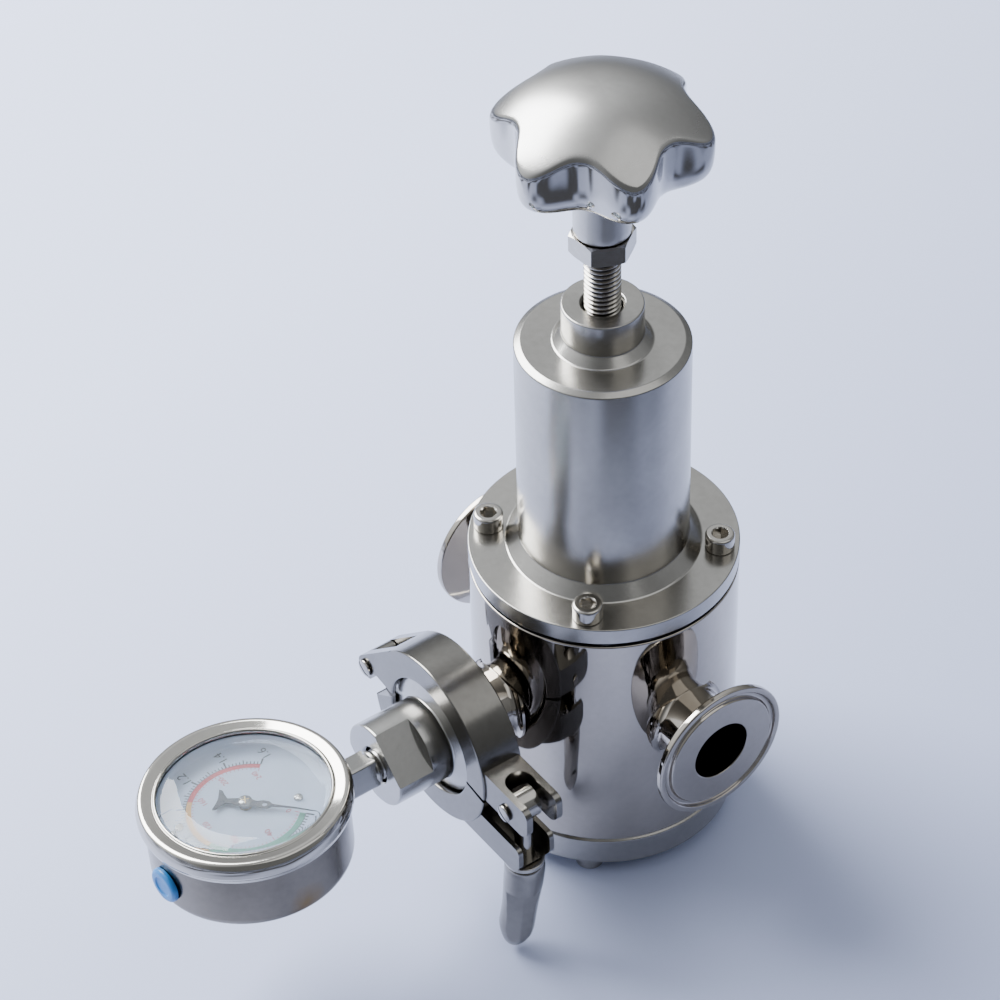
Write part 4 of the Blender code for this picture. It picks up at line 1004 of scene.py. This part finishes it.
def shade_card():
    """Wide dark ring round the picture, painted shade: hidden from the camera, it shows only as dark
    reflections in the polished steel.
    """
    s = Shader("shade_card_painted_dark")
    across, near = flat_axes()
    centre = -190 * near - 40 * across + Vector((0, 0, FLOOR_Z))
    inner, dark_from, outer = 360, 450, 3000
    away = s.measured("DISTANCE", centre * MM)
    # painted shade: nearly black beyond dark_from, broken into soft patches, fading into the paper's colour
    # inside
    patches = s.ranged(s.noise(s.place, 4.5, 1.0), 0.35, 1.0, 0.42, 0.56)
    painted_dark = s.math("MULTIPLY", s.ranged(away, 0.0, 0.97, inner * MM, dark_from * MM), patches)
    fuzz = s.noise(s.place, 300.0, 3.0)
    s.wire(Base_Color=s.mixed(painted_dark, paper_with_painted_light(s), (0.03, 0.029, 0.03)), Roughness=s.ranged(fuzz, 0.8, 0.95))
    low = FLOOR_Z + 0.5
    ring = turned([(inner, low), (outer, low), (outer, low + 0.5), (inner, low + 0.5)], 96)
    card = to_object("shade_card", shift_bm(ring, x=centre.x, y=centre.y))
    card.data.materials.append(s.material)
    card.visible_camera = False
    card.visible_diffuse = False
    card.visible_shadow = False


def toward(azimuth, elevation):
    az, el = math.radians(azimuth), math.radians(elevation)
    return Vector((math.sin(az) * math.cos(el), -math.cos(az) * math.cos(el), math.sin(el)))


def sky():
    """Dim tent with soft glows: strong high on the left, gentler behind the valve and on the right."""
    world = bpy.data.worlds.new("tent")
    bpy.context.scene.world = world
    world.use_nodes = True
    tree = world.node_tree
    background = tree.nodes["Background"]
    place = tree.nodes.new("ShaderNodeTexCoord").outputs["Generated"]

    def op(kind, a, b):
        made = tree.nodes.new("ShaderNodeMath")
        made.operation = kind
        for socket, value in zip(made.inputs, (a, b)):
            if isinstance(value, bpy.types.NodeSocket):
                tree.links.new(value, socket)
            else:
                socket.default_value = value
        return made.outputs[0]

    total = None
    for azimuth, elevation, power, bright in ((-108, 46, 4.0, 1.0), (-100, 6, 3.0, 0.75),
                                              (178, 40, 9.0, 0.65), (95, 30, 8.0, 0.3)):
        dot = tree.nodes.new("ShaderNodeVectorMath")
        dot.operation = "DOT_PRODUCT"
        dot.inputs[1].default_value = toward(VIEW_AZ + azimuth, elevation)
        tree.links.new(place, dot.inputs[0])
        glow = op("MULTIPLY", op("POWER", op("MAXIMUM", dot.outputs["Value"], 0.0), power), bright)
        total = glow if total is None else op("ADD", total, glow)
    tree.links.new(op("ADD", total, 0.21), background.inputs["Strength"])
    background.inputs["Color"].default_value = (0.91, 0.95, 1.0, 1)


FLOOR_Z = span("cover_screw_1")[0].z - 0.05
VIEW_AZ, VIEW_EL, VIEW_ROLL = 55.283, 42.447, -1.847
VIEW_DISTANCE = 1150.0
AIM = Vector((0, 0, 100.0))
AIM_SHIFT = (-34.833, 20.977)    # across and up the picture, in millimetres
LENS = 123.4


def view_axes():
    """Across and up the picture, and from the valve back to the camera."""
    az, roll = math.radians(VIEW_AZ), math.radians(VIEW_ROLL)
    back = toward(VIEW_AZ, VIEW_EL)
    right = Vector((math.cos(az), math.sin(az), 0))
    up = back.cross(right)
    across = right * math.cos(roll) + up * math.sin(roll)
    return across, back.cross(across), back


def flat_axes():
    """Level directions: across the picture, and toward the camera."""
    across, _, back = view_axes()
    return [Vector((axis.x, axis.y, 0)).normalized() for axis in (across, back)]


def camera():
    across, up, back = view_axes()
    data = bpy.data.cameras.new("camera")
    data.lens = LENS
    data.sensor_width = 36.0
    data.clip_end = 20.0
    obj = bpy.data.objects.new("camera", data)
    spot = AIM + back * VIEW_DISTANCE + across * AIM_SHIFT[0] + up * AIM_SHIFT[1]
    turn = Matrix((across, up, back)).transposed().to_4x4()
    obj.matrix_world = Matrix.Translation(spot * MM) @ turn
    bpy.context.scene.collection.objects.link(obj)
    bpy.context.scene.camera = obj


def softbox(name, direction, distance, width, height, power, color):
    """Rectangular light that looks at the valve from a direction given as azimuth, elevation."""
    data = bpy.data.lights.new(name, "AREA")
    data.shape = "RECTANGLE"
    data.size, data.size_y = width, height
    data.energy = power
    data.color = color
    obj = bpy.data.objects.new(name, data)
    away = toward(*direction)
    obj.matrix_world = (Matrix.Translation(Vector((0, -0.04, 0.1)) + away * distance)
                        @ away.to_track_quat("Z", "Y").to_matrix().to_4x4())
    bpy.context.scene.collection.objects.link(obj)


def studio():
    floor()
    shade_card()
    sky()
    softbox("key_softbox", (VIEW_AZ - 130, 42), 1.6, 1.2, 1.1, 82.0, (0.93, 0.96, 1.0))
    softbox("fill_softbox", (VIEW_AZ + 60, 62), 1.9, 1.6, 1.6, 8.0, (0.96, 0.98, 1.0))
    camera()


# ---------------------------------------------------------------- make it all
studio()
paint_inner_nodes()
port_pieces()
bonnet_piece()
screw_pieces()
spindle_pieces()
knob_piece()
clamp_pieces()
bolt_and_handle()
adaptor_piece()
gauge_case()
gauge_stem()
dial_pieces()
pointer_pieces()
